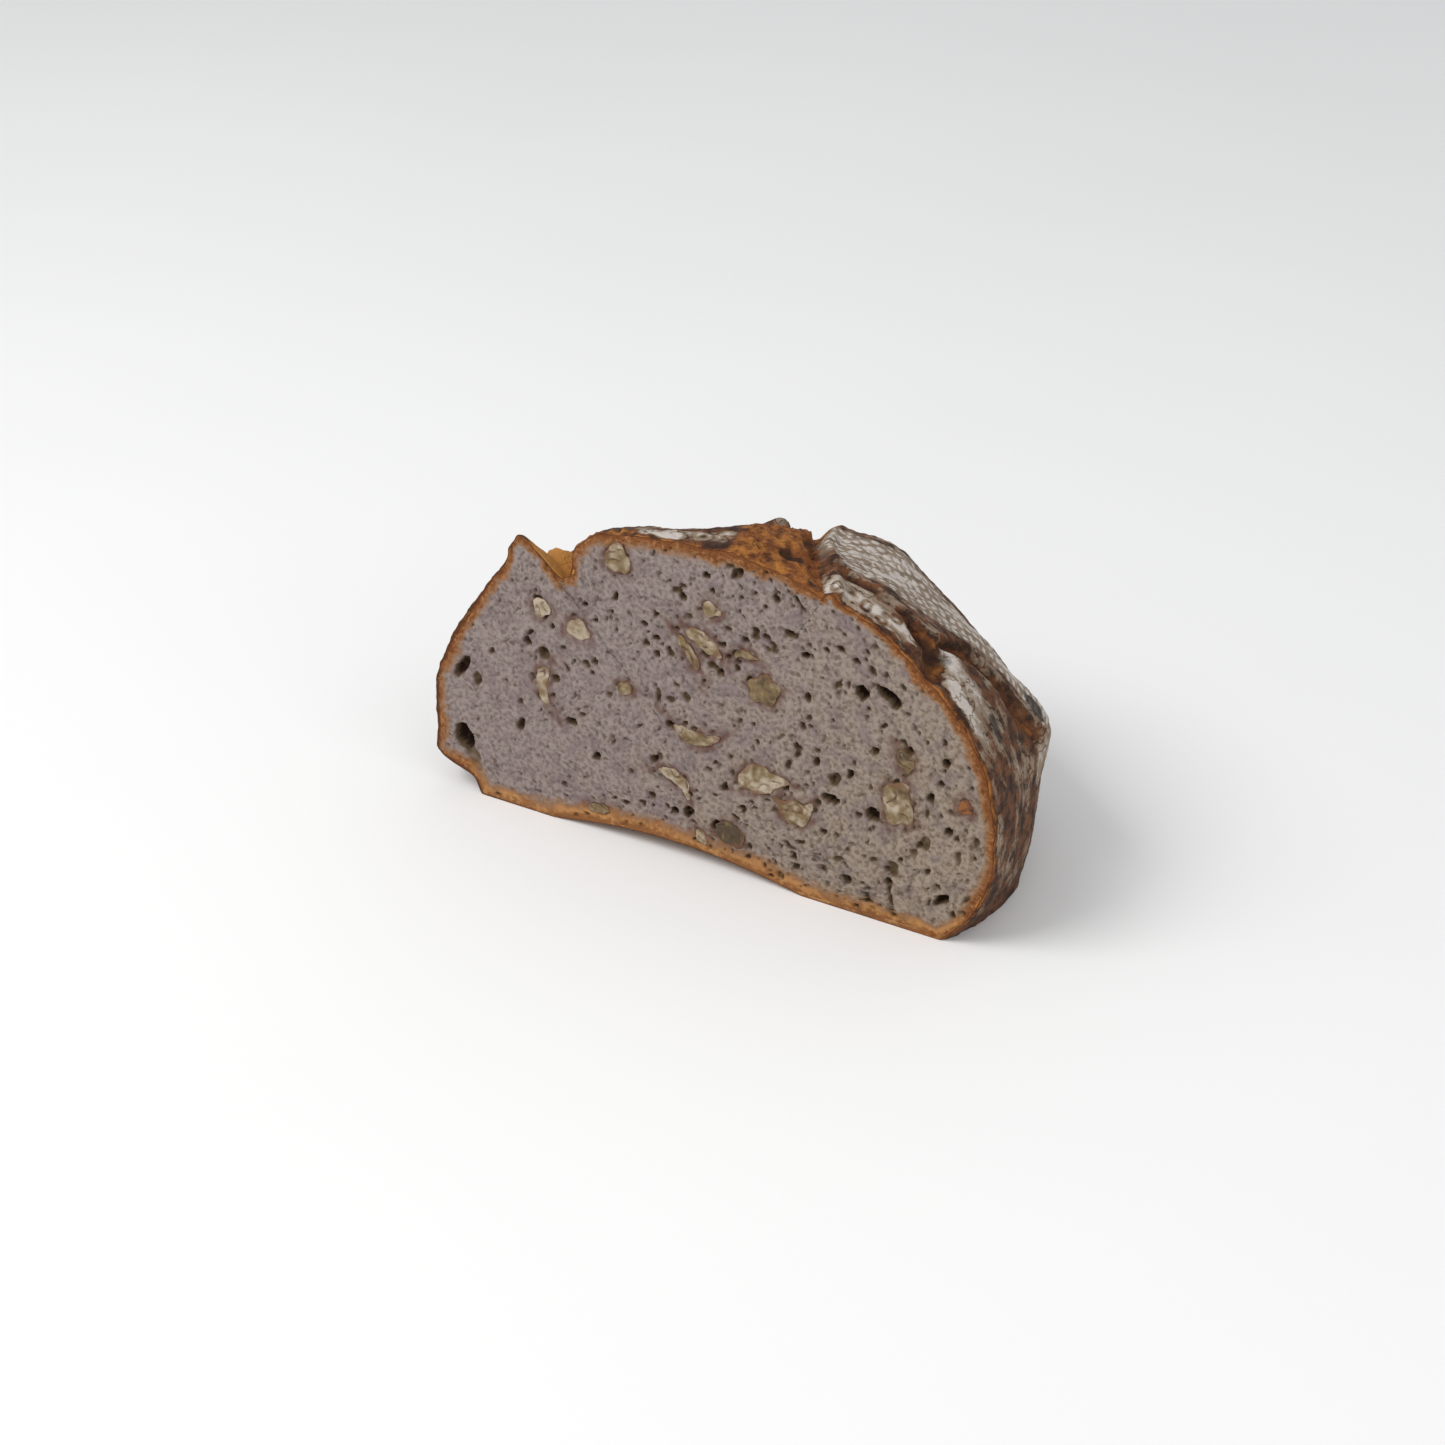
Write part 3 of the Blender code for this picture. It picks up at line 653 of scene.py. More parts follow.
def half_ball(segments):
    """The back half of a unit ball, with nearly square faces that are alike in size."""
    mesh = bmesh.new()
    bmesh.ops.create_cube(mesh, size=2)
    bmesh.ops.subdivide_edges(mesh, edges=mesh.edges[:], cuts=segments - 1, use_grid_fill=True)
    spread = np.tan(vertex_places(mesh) * math.pi / 4)
    place_vertices(mesh.verts, spread / np.linalg.norm(spread, axis=1)[:, None])
    bmesh.ops.bisect_plane(
        mesh,
        geom=mesh.verts[:] + mesh.edges[:] + mesh.faces[:],
        dist=1e-5,
        plane_co=(0, 0, 0),
        plane_no=(0, 1, 0),
        clear_inner=True,
    )
    return mesh


def loaf_middle():
    return np.array((0, -CUT_SETBACK, GIRTH_HEIGHT))


def rim(mesh):
    """The open edges of a mesh, and their vertices."""
    edges = [edge for edge in mesh.edges if edge.is_boundary]
    return edges, list({vertex for edge in edges for vertex in edge.verts})


def extrude_rim(mesh, move):
    """Adds a strip round the open edge, whose new vertices go where move puts them."""
    edges, _ = rim(mesh)
    made = bmesh.ops.extrude_edge_only(mesh, edges=edges)["geom"]
    vertices = [item for item in made if isinstance(item, bmesh.types.BMVert)]
    place_vertices(vertices, move(np.array([vertex.co for vertex in vertices])))


def close_rim(mesh):
    edges, _ = rim(mesh)
    bmesh.ops.contextual_create(mesh, geom=edges)
    bmesh.ops.triangulate(mesh, faces=[face for face in mesh.faces if len(face.verts) > 4])
    bmesh.ops.recalc_face_normals(mesh, faces=mesh.faces[:])


def drawn_in(places, inset, depth):
    """Points of the cut's edge moved towards the middle and to a depth behind the cut, where
    they and the strip that leads back to them stay under the crust."""
    flat = places - loaf_middle()
    flat[:, 1] = 0
    edge = np.linalg.norm(flat, axis=1)
    outward = flat / edge[:, None]
    reach = edge - inset
    sides = [outward @ np.array(Matrix.Rotation(lean, 3, "Y")) for lean in STRIP_LEANS]
    for back in 2 * [share * depth for share in STRIP_CHECKS]:
        for side in sides:
            ways = side * reach[:, None] + (0, back, 0)
            ways /= np.linalg.norm(ways, axis=1)[:, None]
            cover = loaf_radius(ways)[0] - inset
            reach = np.minimum(reach, np.sqrt(np.maximum(cover**2 - back**2, 0)))
    moved = loaf_middle() + outward * reach[:, None]
    moved[:, 1] = depth - CUT_SETBACK
    return moved


def add_crust(material):
    mesh = half_ball(CRUST_SEGMENTS)
    ways = vertex_places(mesh)
    radius, base, zones = loaf_radius(ways)
    place_vertices(mesh.verts, loaf_middle() + ways * radius[:, None])
    for name, values in zones.items():
        paint(mesh, name, values)
    paint(mesh, "base", base)
    paint(mesh, "round", np.arctan2(ways[:, 1], ways[:, 0]) * HALF_WIDTH)
    paint(mesh, "down", np.arccos(np.clip(ways[:, 2], -1, 1)) * radius)
    for inset, depth in MOUTH_RINGS:
        extrude_rim(mesh, lambda places: drawn_in(places, inset, depth))
    close_rim(mesh)
    piece = new_piece("crust", mesh, material, "loaf")


# The crumb


def cut_outline(angles):
    """The cut face's outline: its distance from the loaf's middle at each angle."""
    ways = np.stack([np.cos(angles), np.zeros(len(angles)), np.sin(angles)], axis=1)
    return loaf_radius(ways)[0]


def disc_from_square(across, up):
    """Points of a square spread evenly over a disc."""
    return across * np.sqrt(1 - up**2 / 2), up * np.sqrt(1 - across**2 / 2)


def walnut_ring(nut, x, z):
    """How far out a point of the cut face is in a walnut piece: 1 is on its edge."""
    angle = math.radians(nut.slope)
    dx, dz = x - nut.x * MM, z - nut.z * MM
    along = (dx * math.cos(angle) + dz * math.sin(angle)) / (nut.length * MM / 2)
    up = -dx * math.sin(angle) + dz * math.cos(angle)
    up -= nut.bend * nut.width * MM * (BEND_BALANCE - along**2)
    up = up / (nut.width * MM / 2)
    ring = np.hypot(along, up)
    for _ in range(2):
        narrowed = 1 + nut.taper * along / np.maximum(ring, 1e-6)
        ring = np.hypot(along, up / narrowed)
    lobed = 1 + LOBE_SHARE * np.cos(nut.lobes * np.arctan2(up / narrowed, along) + nut.x)
    return ring / lobed


class CutRaster:
    """A fine grid over the cut face that holds the depth of its pores."""

    def __init__(self):
        self.x0, self.z0 = GRID_CORNER
        columns, rows = (int(span / RASTER_STEP) for span in GRID_SPAN)
        xs = self.x0 + np.arange(columns) * RASTER_STEP
        zs = self.z0 + np.arange(rows) * RASTER_STEP
        self.x, self.z = np.meshgrid(xs, zs)
        coarse = [self.coarse_noise(PORE_PUSH_SIZE, seed) for seed in (21, 22, 23)]
        self.warped_x = self.x + PORE_PUSH * coarse[0]
        self.warped_z = self.z + PORE_PUSH * coarse[1]
        self.unevenness = 0.9 + 0.6 * coarse[2]
        self.depth = np.zeros(self.x.shape)

    def coarse_noise(self, size, seed):
        """Noise over the grid, worked out at every third point and filled in between."""
        rows, columns = self.x.shape
        points = [(x, 0, z) for z in self.z[::3, 0] for x in self.x[0, ::3]]
        values = ripple(points, size, seed).reshape(len(self.z[::3, 0]), -1)
        row_at = np.minimum(np.arange(rows) / 3, values.shape[0] - 1.001)
        column_at = np.minimum(np.arange(columns) / 3, values.shape[1] - 1.001)
        return sample(values, *np.meshgrid(column_at, row_at))

    def window(self, x, z, reach):
        column, row = (x - self.x0) / RASTER_STEP, (z - self.z0) / RASTER_STEP
        span = reach / RASTER_STEP + 3
        rows = slice(max(int(row - span), 0), max(int(row + span) + 1, 0))
        return rows, slice(max(int(column - span), 0), max(int(column + span) + 1, 0))

    def press(self, bubble):
        """Presses a rounded hollow into the grid."""
        x, z = bubble.x * MM, bubble.z * MM
        area = self.window(x, z, bubble.length * MM)
        dx, dz = self.warped_x[area] - x, self.warped_z[area] - z
        angle = math.radians(bubble.slope)
        along = dx * math.cos(angle) + dz * math.sin(angle)
        up = -dx * math.sin(angle) + dz * math.cos(angle)
        out = (2 * along / (bubble.length * MM)) ** 2 + (2 * up / (bubble.width * MM)) ** 2
        hollow = bubble.depth * MM * smooth_step(0, 0.75, 1 - out) * self.unevenness[area]
        self.depth[area] = np.maximum(self.depth[area], hollow)

    def read(self, values, x, z):
        return sample(values, (x - self.x0) / RASTER_STEP, (z - self.z0) / RASTER_STEP)


def sample(values, column, row):
    """The value of a grid at fractional columns and rows."""
    left, low = np.floor(column).astype(int), np.floor(row).astype(int)
    right_share, up_share = column - left, row - low
    bottom = values[low, left] * (1 - right_share) + values[low, left + 1] * right_share
    top = values[low + 1, left] * (1 - right_share) + values[low + 1, left + 1] * right_share
    return bottom * (1 - up_share) + top * up_share


def pore_slope(x, z, angle, out):
    """Which way the random pores lie: upright at the right, and elsewhere along the crust."""
    if x > UPRIGHT_FROM_X and z < UPRIGHT_TO_Z:
        return 94
    return math.degrees(angle) + 90 if out > 0.5 else 20


def pore_raster():
    raster = CutRaster()
    for bubble in BUBBLES:
        raster.press(bubble)
    random = np.random.default_rng(PORE_SEED)
    for pores in PORE_SIZES:
        for _ in range(pores.count):
            x = (2 * random.random() - 1) * HALF_WIDTH
            z = random.random() * (GIRTH_HEIGHT + CROWN_RISE)
            angle = math.atan2(z - GIRTH_HEIGHT, x)
            out = math.hypot(x, z - GIRTH_HEIGHT) / cut_reach(angle)
            length = pores.least + (pores.most - pores.least) * random.random() ** 1.4
            width = length / (1 + 0.9 * random.random())
            depth = pores.depth_share * width * (0.6 + 0.8 * random.random())
            tilt = random.normal() * 24
            kept = random.random() < SPARSE_LEFT + (1 - SPARSE_LEFT) * (x / HALF_WIDTH + 0.7)
            if kept and out < 0.985:
                slope = pore_slope(x, z, angle, out) + tilt
                values = (value / MM for value in (x, z, length, width))
                raster.press(Bubble(*values, slope, depth / MM))
    return raster


CUT_ANGLES = np.radians(np.arange(0, 361, 0.5))
CUT_REACHES = cut_outline(CUT_ANGLES)


def cut_reach(angle):
    return float(np.interp(angle % (2 * math.pi), CUT_ANGLES, CUT_REACHES))


def distance_to_edge(x, z):
    """How far each point of the cut face is from the face's outline."""
    angles = np.radians(np.arange(0, 360, 0.4))
    reach = cut_outline(angles)
    edge_x, edge_z = reach * np.cos(angles), GIRTH_HEIGHT + reach * np.sin(angles)
    nearest = np.full(len(x), np.inf)
    for ex, ez in zip(edge_x, edge_z):
        nearest = np.minimum(nearest, (x - ex) ** 2 + (z - ez) ** 2)
    return np.sqrt(nearest)


def crust_thickness(x, z):
    """How wide the browned band is at the cut: widest along the base and at the bloom."""
    angle = np.degrees(np.arctan2(z - GIRTH_HEIGHT, x)) % 360
    thick = np.interp(
        angle,
        (0, 30, 42, 58, 70, 90, 115, 129, 132, 133, 135, 136, 145, 165, 190, 206, 270, 334, 345, 360),
        (2.8, 3, 1.9, 1.9, 3.6, 4, 3.6, 3, 1.8, 3.4, 3.4, 2, 2.6, 3.2, 4, 5.4, 5.4, 5.6, 3.8, 2.8),
    )
    return thick * MM


def add_crumb(material):
    mesh = bmesh.new()
    bmesh.ops.create_grid(mesh, x_segments=CRUMB_COLUMNS, y_segments=CRUMB_ROWS, size=1)
    square = vertex_places(mesh)
    across, up = disc_from_square(square[:, 0], square[:, 1])
    out = np.hypot(across, up)
    reach = cut_outline(np.arctan2(up, across)) * out
    x = reach * across / np.maximum(out, 1e-9)
    z = GIRTH_HEIGHT + reach * up / np.maximum(out, 1e-9)
    raster = pore_raster()
    pore_depth_and_shade = raster.read(raster.depth, x, z)
    points = np.stack([x, np.zeros(len(x)), z], axis=1)
    edge = distance_to_edge(x, z)
    nest = np.zeros(len(x))
    stain = np.zeros(len(x))
    for nut in WALNUTS:
        gap = (walnut_ring(nut, x, z) - 1) * nut.width * MM / 2
        nest = np.maximum(nest, 1 - smooth_step(NEST_GAP, 2.2 * NEST_GAP, gap))
        stain = np.maximum(stain, np.exp(-((np.maximum(gap, 0) / STAIN_REACH) ** 2)))
    stain *= 0.75 + ripple(points, STAIN_PATCHES, 31)
    pore_depth_and_shade *= smooth_step(*PORES_FROM_EDGE, edge)
    waves = ripples(points, CRUMB_WAVES) * smooth_step(0, FLAT_EDGE, edge)
    depth = np.maximum(pore_depth_and_shade, NEST_DEPTH * nest) + waves
    y = depth - CRUMB_PROUD - CUT_SETBACK
    place_vertices(mesh.verts, np.stack([x, y, z], axis=1))
    band = edge + ripples(points, BAND_WAVES)
    # the pore's depth, for the painted shade in it
    paint(mesh, "pore_depth_and_shade", np.clip(pore_depth_and_shade / PORE_SHADE_FULL_DEPTH, 0, 1))
    paint(mesh, "rim", np.clip(band / crust_thickness(x, z), 0, 2.5))
    thinner = 0.55 + 1.4 * smooth_step(*SKIN_THINS_OVER, x)
    paint(mesh, "skin", thinner * edge / MM + ripples(points, [DARK_LINE_WAVE]))
    paint(mesh, "stain", np.clip(stain, 0, 1))
    for inset, depth in SLAB_RINGS:
        extrude_rim(mesh, lambda places: drawn_in(places, inset, depth))
    close_rim(mesh)
    new_piece("crumb", mesh, material, "loaf")


# The walnuts


def walnut_place(nut, ring, angle, deep):
    """Where a unit ball's point goes on a walnut piece."""
    lobed = ring * (1 + LOBE_SHARE * np.cos(nut.lobes * angle + nut.x))
    along = lobed * np.cos(angle)
    up = lobed * nut.width * MM / 2 * np.sin(angle) * (1 + nut.taper * np.cos(angle))
    up += nut.bend * nut.width * MM * (BEND_BALANCE - along**2)
    across = along * nut.length * MM / 2
    depth = WALNUT_DEPTH_SHARE * nut.width * MM + WALNUT_LEAST_DEPTH
    slope = math.radians(nut.slope)
    x = nut.x * MM + across * math.cos(slope) - up * math.sin(slope)
    z = nut.z * MM + across * math.sin(slope) + up * math.cos(slope)
    y = np.where(deep > 0, deep * depth, deep * WALNUT_CROWN) - CUT_SETBACK
    return np.stack([x, y, z], axis=1)


def add_walnut(nut, material):
    mesh = bmesh.new()
    bmesh.ops.create_uvsphere(mesh, u_segments=WALNUT_SEGMENTS, v_segments=WALNUT_RINGS, radius=1)
    bmesh.ops.rotate(mesh, verts=mesh.verts[:], matrix=Matrix.Rotation(-math.pi / 2, 3, "X"))
    ball = vertex_places(mesh)
    ring = np.hypot(ball[:, 0], ball[:, 2])
    angle = np.arctan2(ball[:, 2], ball[:, 0])
    places = walnut_place(nut, ring, angle, ball[:, 1])
    (broad_height, broad_size), (fine_height, fine_size) = KERNEL_OUTLINE_WAVES
    sideways = ((broad_height, broad_size, nut.x + 51), (fine_height, fine_size, 53))
    upwards = ((broad_height, broad_size, nut.x + 52), (fine_height, fine_size, 54))
    uneven_x, uneven_z = ripples(places, sideways), ripples(places, upwards)
    places[:, 0] += uneven_x
    places[:, 2] += uneven_z
    fold = 1 - smooth_step(0.03, 0.17, np.abs(ripple(places, FOLD_SPACING, nut.x)))
    fold *= smooth_step(0.05, 0.35, 1 - ring)
    fold *= smooth_step(-0.3, 0.1, ripple(places, FOLDED_PARTS, 41))
    front = ball[:, 1] < 0.02
    edge = smooth_step(0.82, 1.02, ring + 0.4 * ripple(places, KERNEL_CLOUDS, 42))
    plump = ripples(places, KERNEL_FACE_WAVES)
    places[:, 1] += np.where(front, FOLD_DEPTH * fold + plump, 0)
    place_vertices(mesh.verts, places)
    paint(mesh, "skin", np.maximum(edge, 0.8 * fold))
    paint(mesh, "tan", np.full(len(ball), nut.tan))
    piece = new_piece(nut.name + "_kernel", mesh, material, nut.name)


# Materials


def new_material(name):
    material = bpy.data.materials.new(name)
    material.use_nodes = True
    tree = material.node_tree
    return material, tree, tree.nodes["Principled BSDF"]


def add_node(tree, kind, inputs, output=0, **settings):
    """Adds a node, sets it up, gives its inputs values or links, and returns an output."""
    node = tree.nodes.new(kind)
    for name, value in settings.items():
        setattr(node, name, value)
    for name, value in inputs.items():
        if isinstance(value, bpy.types.NodeSocket):
            tree.links.new(value, node.inputs[name])
        else:
            node.inputs[name].default_value = value
    return node.outputs[output]


# Sockets of a Mix node that mixes colours
FACTOR, FIRST, SECOND, MIXED = 0, 6, 7, 2


def coat(tree, under, over, mask, low, high, most=1.0):
    """Lays one colour over another: none of it where the mask is at low, most of it at high."""
    share = add_node(
        tree,
        "ShaderNodeMapRange",
        {"Value": mask, "From Min": low, "From Max": high, "To Max": most},
        interpolation_type="SMOOTHSTEP",
    )
    return add_node(
        tree, "ShaderNodeMix", {FACTOR: share, FIRST: under, SECOND: over}, MIXED, data_type="RGBA"
    )


def total(tree, *parts):
    """Adds up values, each times its own weight."""
    so_far = 0.0
    for value, weight in parts:
        so_far = add_node(
            tree, "ShaderNodeMath", {0: value, 1: weight, 2: so_far}, operation="MULTIPLY_ADD"
        )
    return so_far


def read_shares(tree, *names):
    """The numbers that the piece's vertices carry under these names."""
    return [
        add_node(tree, "ShaderNodeAttribute", {}, "Fac", attribute_name=name) for name in names
    ]


def object_place(tree):
    return add_node(tree, "ShaderNodeTexCoord", {}, "Object")


def jostled(tree, place, size, reach):
    """The place pushed about by noise, so that patterns laid on it come out uneven."""
    push = add_node(
        tree, "ShaderNodeTexNoise", {"Vector": place, "Scale": 1 / size, "Detail": 2.0}, "Color"
    )
    return add_node(
        tree, "ShaderNodeVectorMath", {0: push, 1: (reach,) * 3, 2: place}, operation="MULTIPLY_ADD"
    )


def crests(tree, way, spacing):
    """Even waves along a length: 1 on their crests and 0 between them."""
    turned = total(tree, (way, 2 * math.pi / spacing))
    wave = add_node(tree, "ShaderNodeMath", {0: turned}, operation="SINE")
    return total(tree, (wave, 0.5), (1.0, 0.5))


def roughen(tree, shader, height, distance, strength):
    """Raises the finish by a height map."""
    normal = add_node(
        tree, "ShaderNodeBump", {"Strength": strength, "Distance": distance, "Height": height}
    )
    tree.links.new(normal, shader.inputs["Normal"])


def crumb_material():
    """Wheat and rye crumb tinted by walnut skins: dull, frothy and mauve-grey, with paler cell
    walls, painted shade in its pores and pinholes, and browned to tan, orange-brown and dark where it
    turns to crust."""
    material, tree, shader = new_material("walnut_rye_crumb")
    place = object_place(tree)
    pore_depth_and_shade, rim, skin, stain = read_shares(tree, "pore_depth_and_shade", "rim", "skin", "stain")
    uneven = jostled(tree, place, *CRUMB_PUSH)
    froth = add_node(tree, "ShaderNodeTexVoronoi", {"Vector": uneven, "Scale": 1 / CRUMB_FROTH})
    pits = {"Vector": uneven, "Scale": 1 / CRUMB_PITS}
    pit = add_node(tree, "ShaderNodeTexVoronoi", pits)
    chance = add_node(tree, "ShaderNodeTexVoronoi", pits, "Color")
    fibre = add_node(
        tree,
        "ShaderNodeTexNoise",
        {"Vector": uneven, "Scale": 1 / CRUMB_FIBRE, "Detail": 3.0, "Roughness": 0.6},
    )
    mottle = add_node(
        tree, "ShaderNodeTexNoise", {"Vector": place, "Scale": 1 / CRUMB_MOTTLE, "Detail": 3.0}
    )
    across = add_node(tree, "ShaderNodeSeparateXYZ", {"Vector": place}, "X")
    up = add_node(tree, "ShaderNodeSeparateXYZ", {"Vector": place}, "Z")
    warmth = total(tree, (across, 4.0), (up, -3.0), (mottle, 0.8))
    walls = total(tree, (froth, 0.4), (fibre, 1.2))
    wall_colour = coat(tree, linear("#93857F"), linear("#998A7C"), warmth, 0.1, 0.7)
    cell_colour = coat(tree, linear("#72645F"), linear("#766556"), warmth, 0.1, 0.7)
    colour = coat(tree, cell_colour, wall_colour, walls, 0.54, 1.0)
    colour = coat(tree, colour, linear("#6C5B5E"), mottle, 0.50, 0.36, 0.35)
    # painted shade: dark specks for tiny pits in the crumb
    pinhole_shade = total(tree, (pit, 1.0), (chance, 0.6), (fibre, 0.3))
    colour = coat(tree, colour, linear("#554539"), pinhole_shade, 0.58, 0.38, 0.65)
    stained = total(tree, (stain, 1.0), (fibre, 1.6))
    colour = coat(tree, colour, linear("#5A382C"), stained, 0.9, 1.8, 0.75)
    browned = coat(tree, linear("#80502C"), linear("#9E7047"), fibre, 0.48, 0.66)
    browned = coat(tree, browned, linear("#5E381E"), fibre, 0.46, 0.36, 0.7)
    browned = coat(tree, browned, linear("#BD8A56"), up, *LIGHTER_DOWN_OVER, 0.7)
    browned = coat(tree, browned, linear("#7A4E2C"), mottle, 0.48, 0.62, 0.6)
    ragged = total(tree, (rim, 1.0), (fibre, 0.5), (mottle, 0.9), (1.0, -0.7))
    colour = coat(tree, colour, linear("#8E6540"), ragged, 1.45, 0.85, 0.75)
    colour = coat(tree, colour, browned, ragged, 1.0, 0.5)
    colour = coat(tree, colour, linear("#6B3C1D"), ragged, 0.45, 0.15, 0.65)
    colour = coat(tree, colour, linear("#472412"), skin, 0.95, 0.3, 0.75)
    # painted shade in the pores: browner and darker the deeper they are
    colour = coat(tree, colour, linear("#57442F"), pore_depth_and_shade, 0.04, 0.5, 0.95)
    colour = coat(tree, colour, linear("#2C1B10"), pore_depth_and_shade, 0.6, 1.05)
    tree.links.new(colour, shader.inputs["Base Color"])
    shader.inputs["Roughness"].default_value = 0.92
    shader.inputs["Specular IOR Level"].default_value = 0.2
    roughen(tree, shader, total(tree, (walls, 1.0), (pinhole_shade, 0.4)), CRUMB_BUMP, 0.6)
    return material


def crust_material():
    """Baked crust: brown and dull where the dough's skin browned, golden and charred in specks
    where it tore, and grey-white where the basket's flour stuck: a thin veil in upright streaks,
    and thick dots in the rows of the weave."""
    material, tree, shader = new_material("baked_floury_crust")
    place = object_place(tree)
    names = ("bare", "flour", "char_and_shade", "blisters", "basket", "groove", "base", "round", "down")
    bare, flour, char_and_shade, blisters, basket, groove, base, round_way, down_way = read_shares(
        tree, *names
    )
    broad, blotch, fine = (
        add_node(
            tree,
            "ShaderNodeTexNoise",
            {"Vector": place, "Scale": 1 / size, "Detail": 4.0, "Roughness": 0.6},
        )
        for size in CRUST_BLOTCHES
    )
    colour = coat(tree, linear("#301B0E"), linear("#6B4124"), blotch, 0.36, 0.64)
    colour = coat(tree, colour, linear("#897969"), basket, 0.3, 0.9, 0.7)
    golden = coat(tree, linear("#5F3313"), linear("#A76B2E"), blotch, 0.38, 0.64)
    golden = coat(tree, golden, linear("#7A431E"), broad, 0.44, 0.6, 0.65)
    charred = total(tree, (fine, 0.6), (blotch, 0.6))
    golden = coat(tree, golden, linear("#2C170B"), charred, 0.55, 0.44, 0.85)
    # painted light: torn dough turns a lighter golden where bare goes above 1, as in the notch
    painted_sunlight = total(tree, (bare, 1.0), (blotch, 0.6))
    golden = coat(tree, golden, linear("#BE8440"), painted_sunlight, 1.3, 1.8, 0.85)
    colour = coat(tree, colour, golden, bare, 0.25, 0.7)
    # painted shade: groove bottoms darker the deeper they are
    colour = coat(tree, colour, linear("#3E200E"), groove, 0.25, 0.9, 0.75)

    uneven = jostled(tree, place, *FLOUR_PUSH)
    flakes = add_node(
        tree, "ShaderNodeTexNoise", {"Vector": uneven, "Scale": 1 / FLOUR_FLAKES, "Detail": 3.0}
    )
    off_edge = add_node(
        tree, "ShaderNodeMath", {0: total(tree, (flakes, 1.0), (1.0, -0.5))}, operation="ABSOLUTE"
    )
    crack = add_node(
        tree, "ShaderNodeMapRange", {"Value": off_edge, "From Min": 0.02, "From Max": 0.0}
    )
    blister = add_node(tree, "ShaderNodeTexVoronoi", {"Vector": uneven, "Scale": 1 / BLISTER_SPACING})
    off_ring = total(tree, (blister, 1.0), (1.0, -0.33))
    ring = add_node(tree, "ShaderNodeMath", {0: off_ring}, operation="ABSOLUTE")
    ring = add_node(
        tree,
        "ShaderNodeMapRange",
        {"Value": ring, "From Min": 0.18, "From Max": 0.04, "To Max": blisters},
    )

    around = total(tree, (round_way, 1.0), (broad, WEAVE_WANDER))
    downward = total(tree, (down_way, 1.0), (broad, WEAVE_WANDER))
    row_crest, post_crest = (
        crests(tree, way, spacing)
        for way, spacing in ((downward, ROW_SPACING), (around, POST_SPACING))
    )
    dots = add_node(tree, "ShaderNodeMath", {0: row_crest, 1: post_crest}, operation="MULTIPLY")
    dots = add_node(tree, "ShaderNodeMath", {0: dots, 1: DOT_SHARPNESS}, operation="POWER")
    dots = add_node(tree, "ShaderNodeMath", {0: dots, 1: basket}, operation="MULTIPLY")
    upright = add_node(
        tree, "ShaderNodeCombineXYZ", {"X": round_way, "Y": total(tree, (down_way, STREAK_SQUEEZE))}
    )
    streaks = add_node(
        tree,
        "ShaderNodeTexNoise",
        {"Vector": upright, "Scale": 1 / FLOUR_STREAKS, "Detail": 4.0, "Roughness": 0.62},
    )
    patches = add_node(
        tree, "ShaderNodeTexNoise", {"Vector": uneven, "Scale": 1 / FLOUR_PATCHES, "Detail": 4.0}
    )
    steep = add_node(
        tree,
        "ShaderNodeMapRange",
        {"Value": down_way, "From Min": STREAKED_OVER[0], "From Max": STREAKED_OVER[1]},
    )
    streaked = add_node(tree, "ShaderNodeMix", {0: steep, 2: patches, 3: streaks})
    amount = total(
        tree,
        (flour, 1.0),
        (dots, 1.2),
        (streaked, 3.5),
        (blotch, 0.5),
        (fine, 0.6),
        (crack, -0.5),
        (ring, -0.5),
        (bare, -1.4),
        (groove, -0.3),
        (basket, -0.1),
        (1.0, -0.76),
    )
    colour = coat(tree, colour, linear("#95836F"), amount, 1.9, 2.4, 0.8)
    colour = coat(tree, colour, linear("#C9BFB6"), amount, 2.4, 2.95, 0.95)
    # near black where the crust burnt, and painted shade in the hollow, the recess and the hole
    colour = coat(tree, colour, linear("#1E120C"), char_and_shade, 0.1, 0.9, 0.85)
    underside = coat(tree, linear("#7C4F2D"), linear("#A5784A"), blotch, 0.4, 0.6)
    colour = coat(tree, colour, underside, base, 0.2, 0.8)
    tree.links.new(colour, shader.inputs["Base Color"])
    shader.inputs["Roughness"].default_value = 0.8
    shader.inputs["Specular IOR Level"].default_value = 0.3
    height = total(
        tree, (fine, 0.5), (blotch, 0.8), (amount, 0.3), (crack, -0.3), (ring, -0.3), (dots, 0.1)
    )
    roughen(tree, shader, height, CRUST_BUMP, 0.8)
    return material


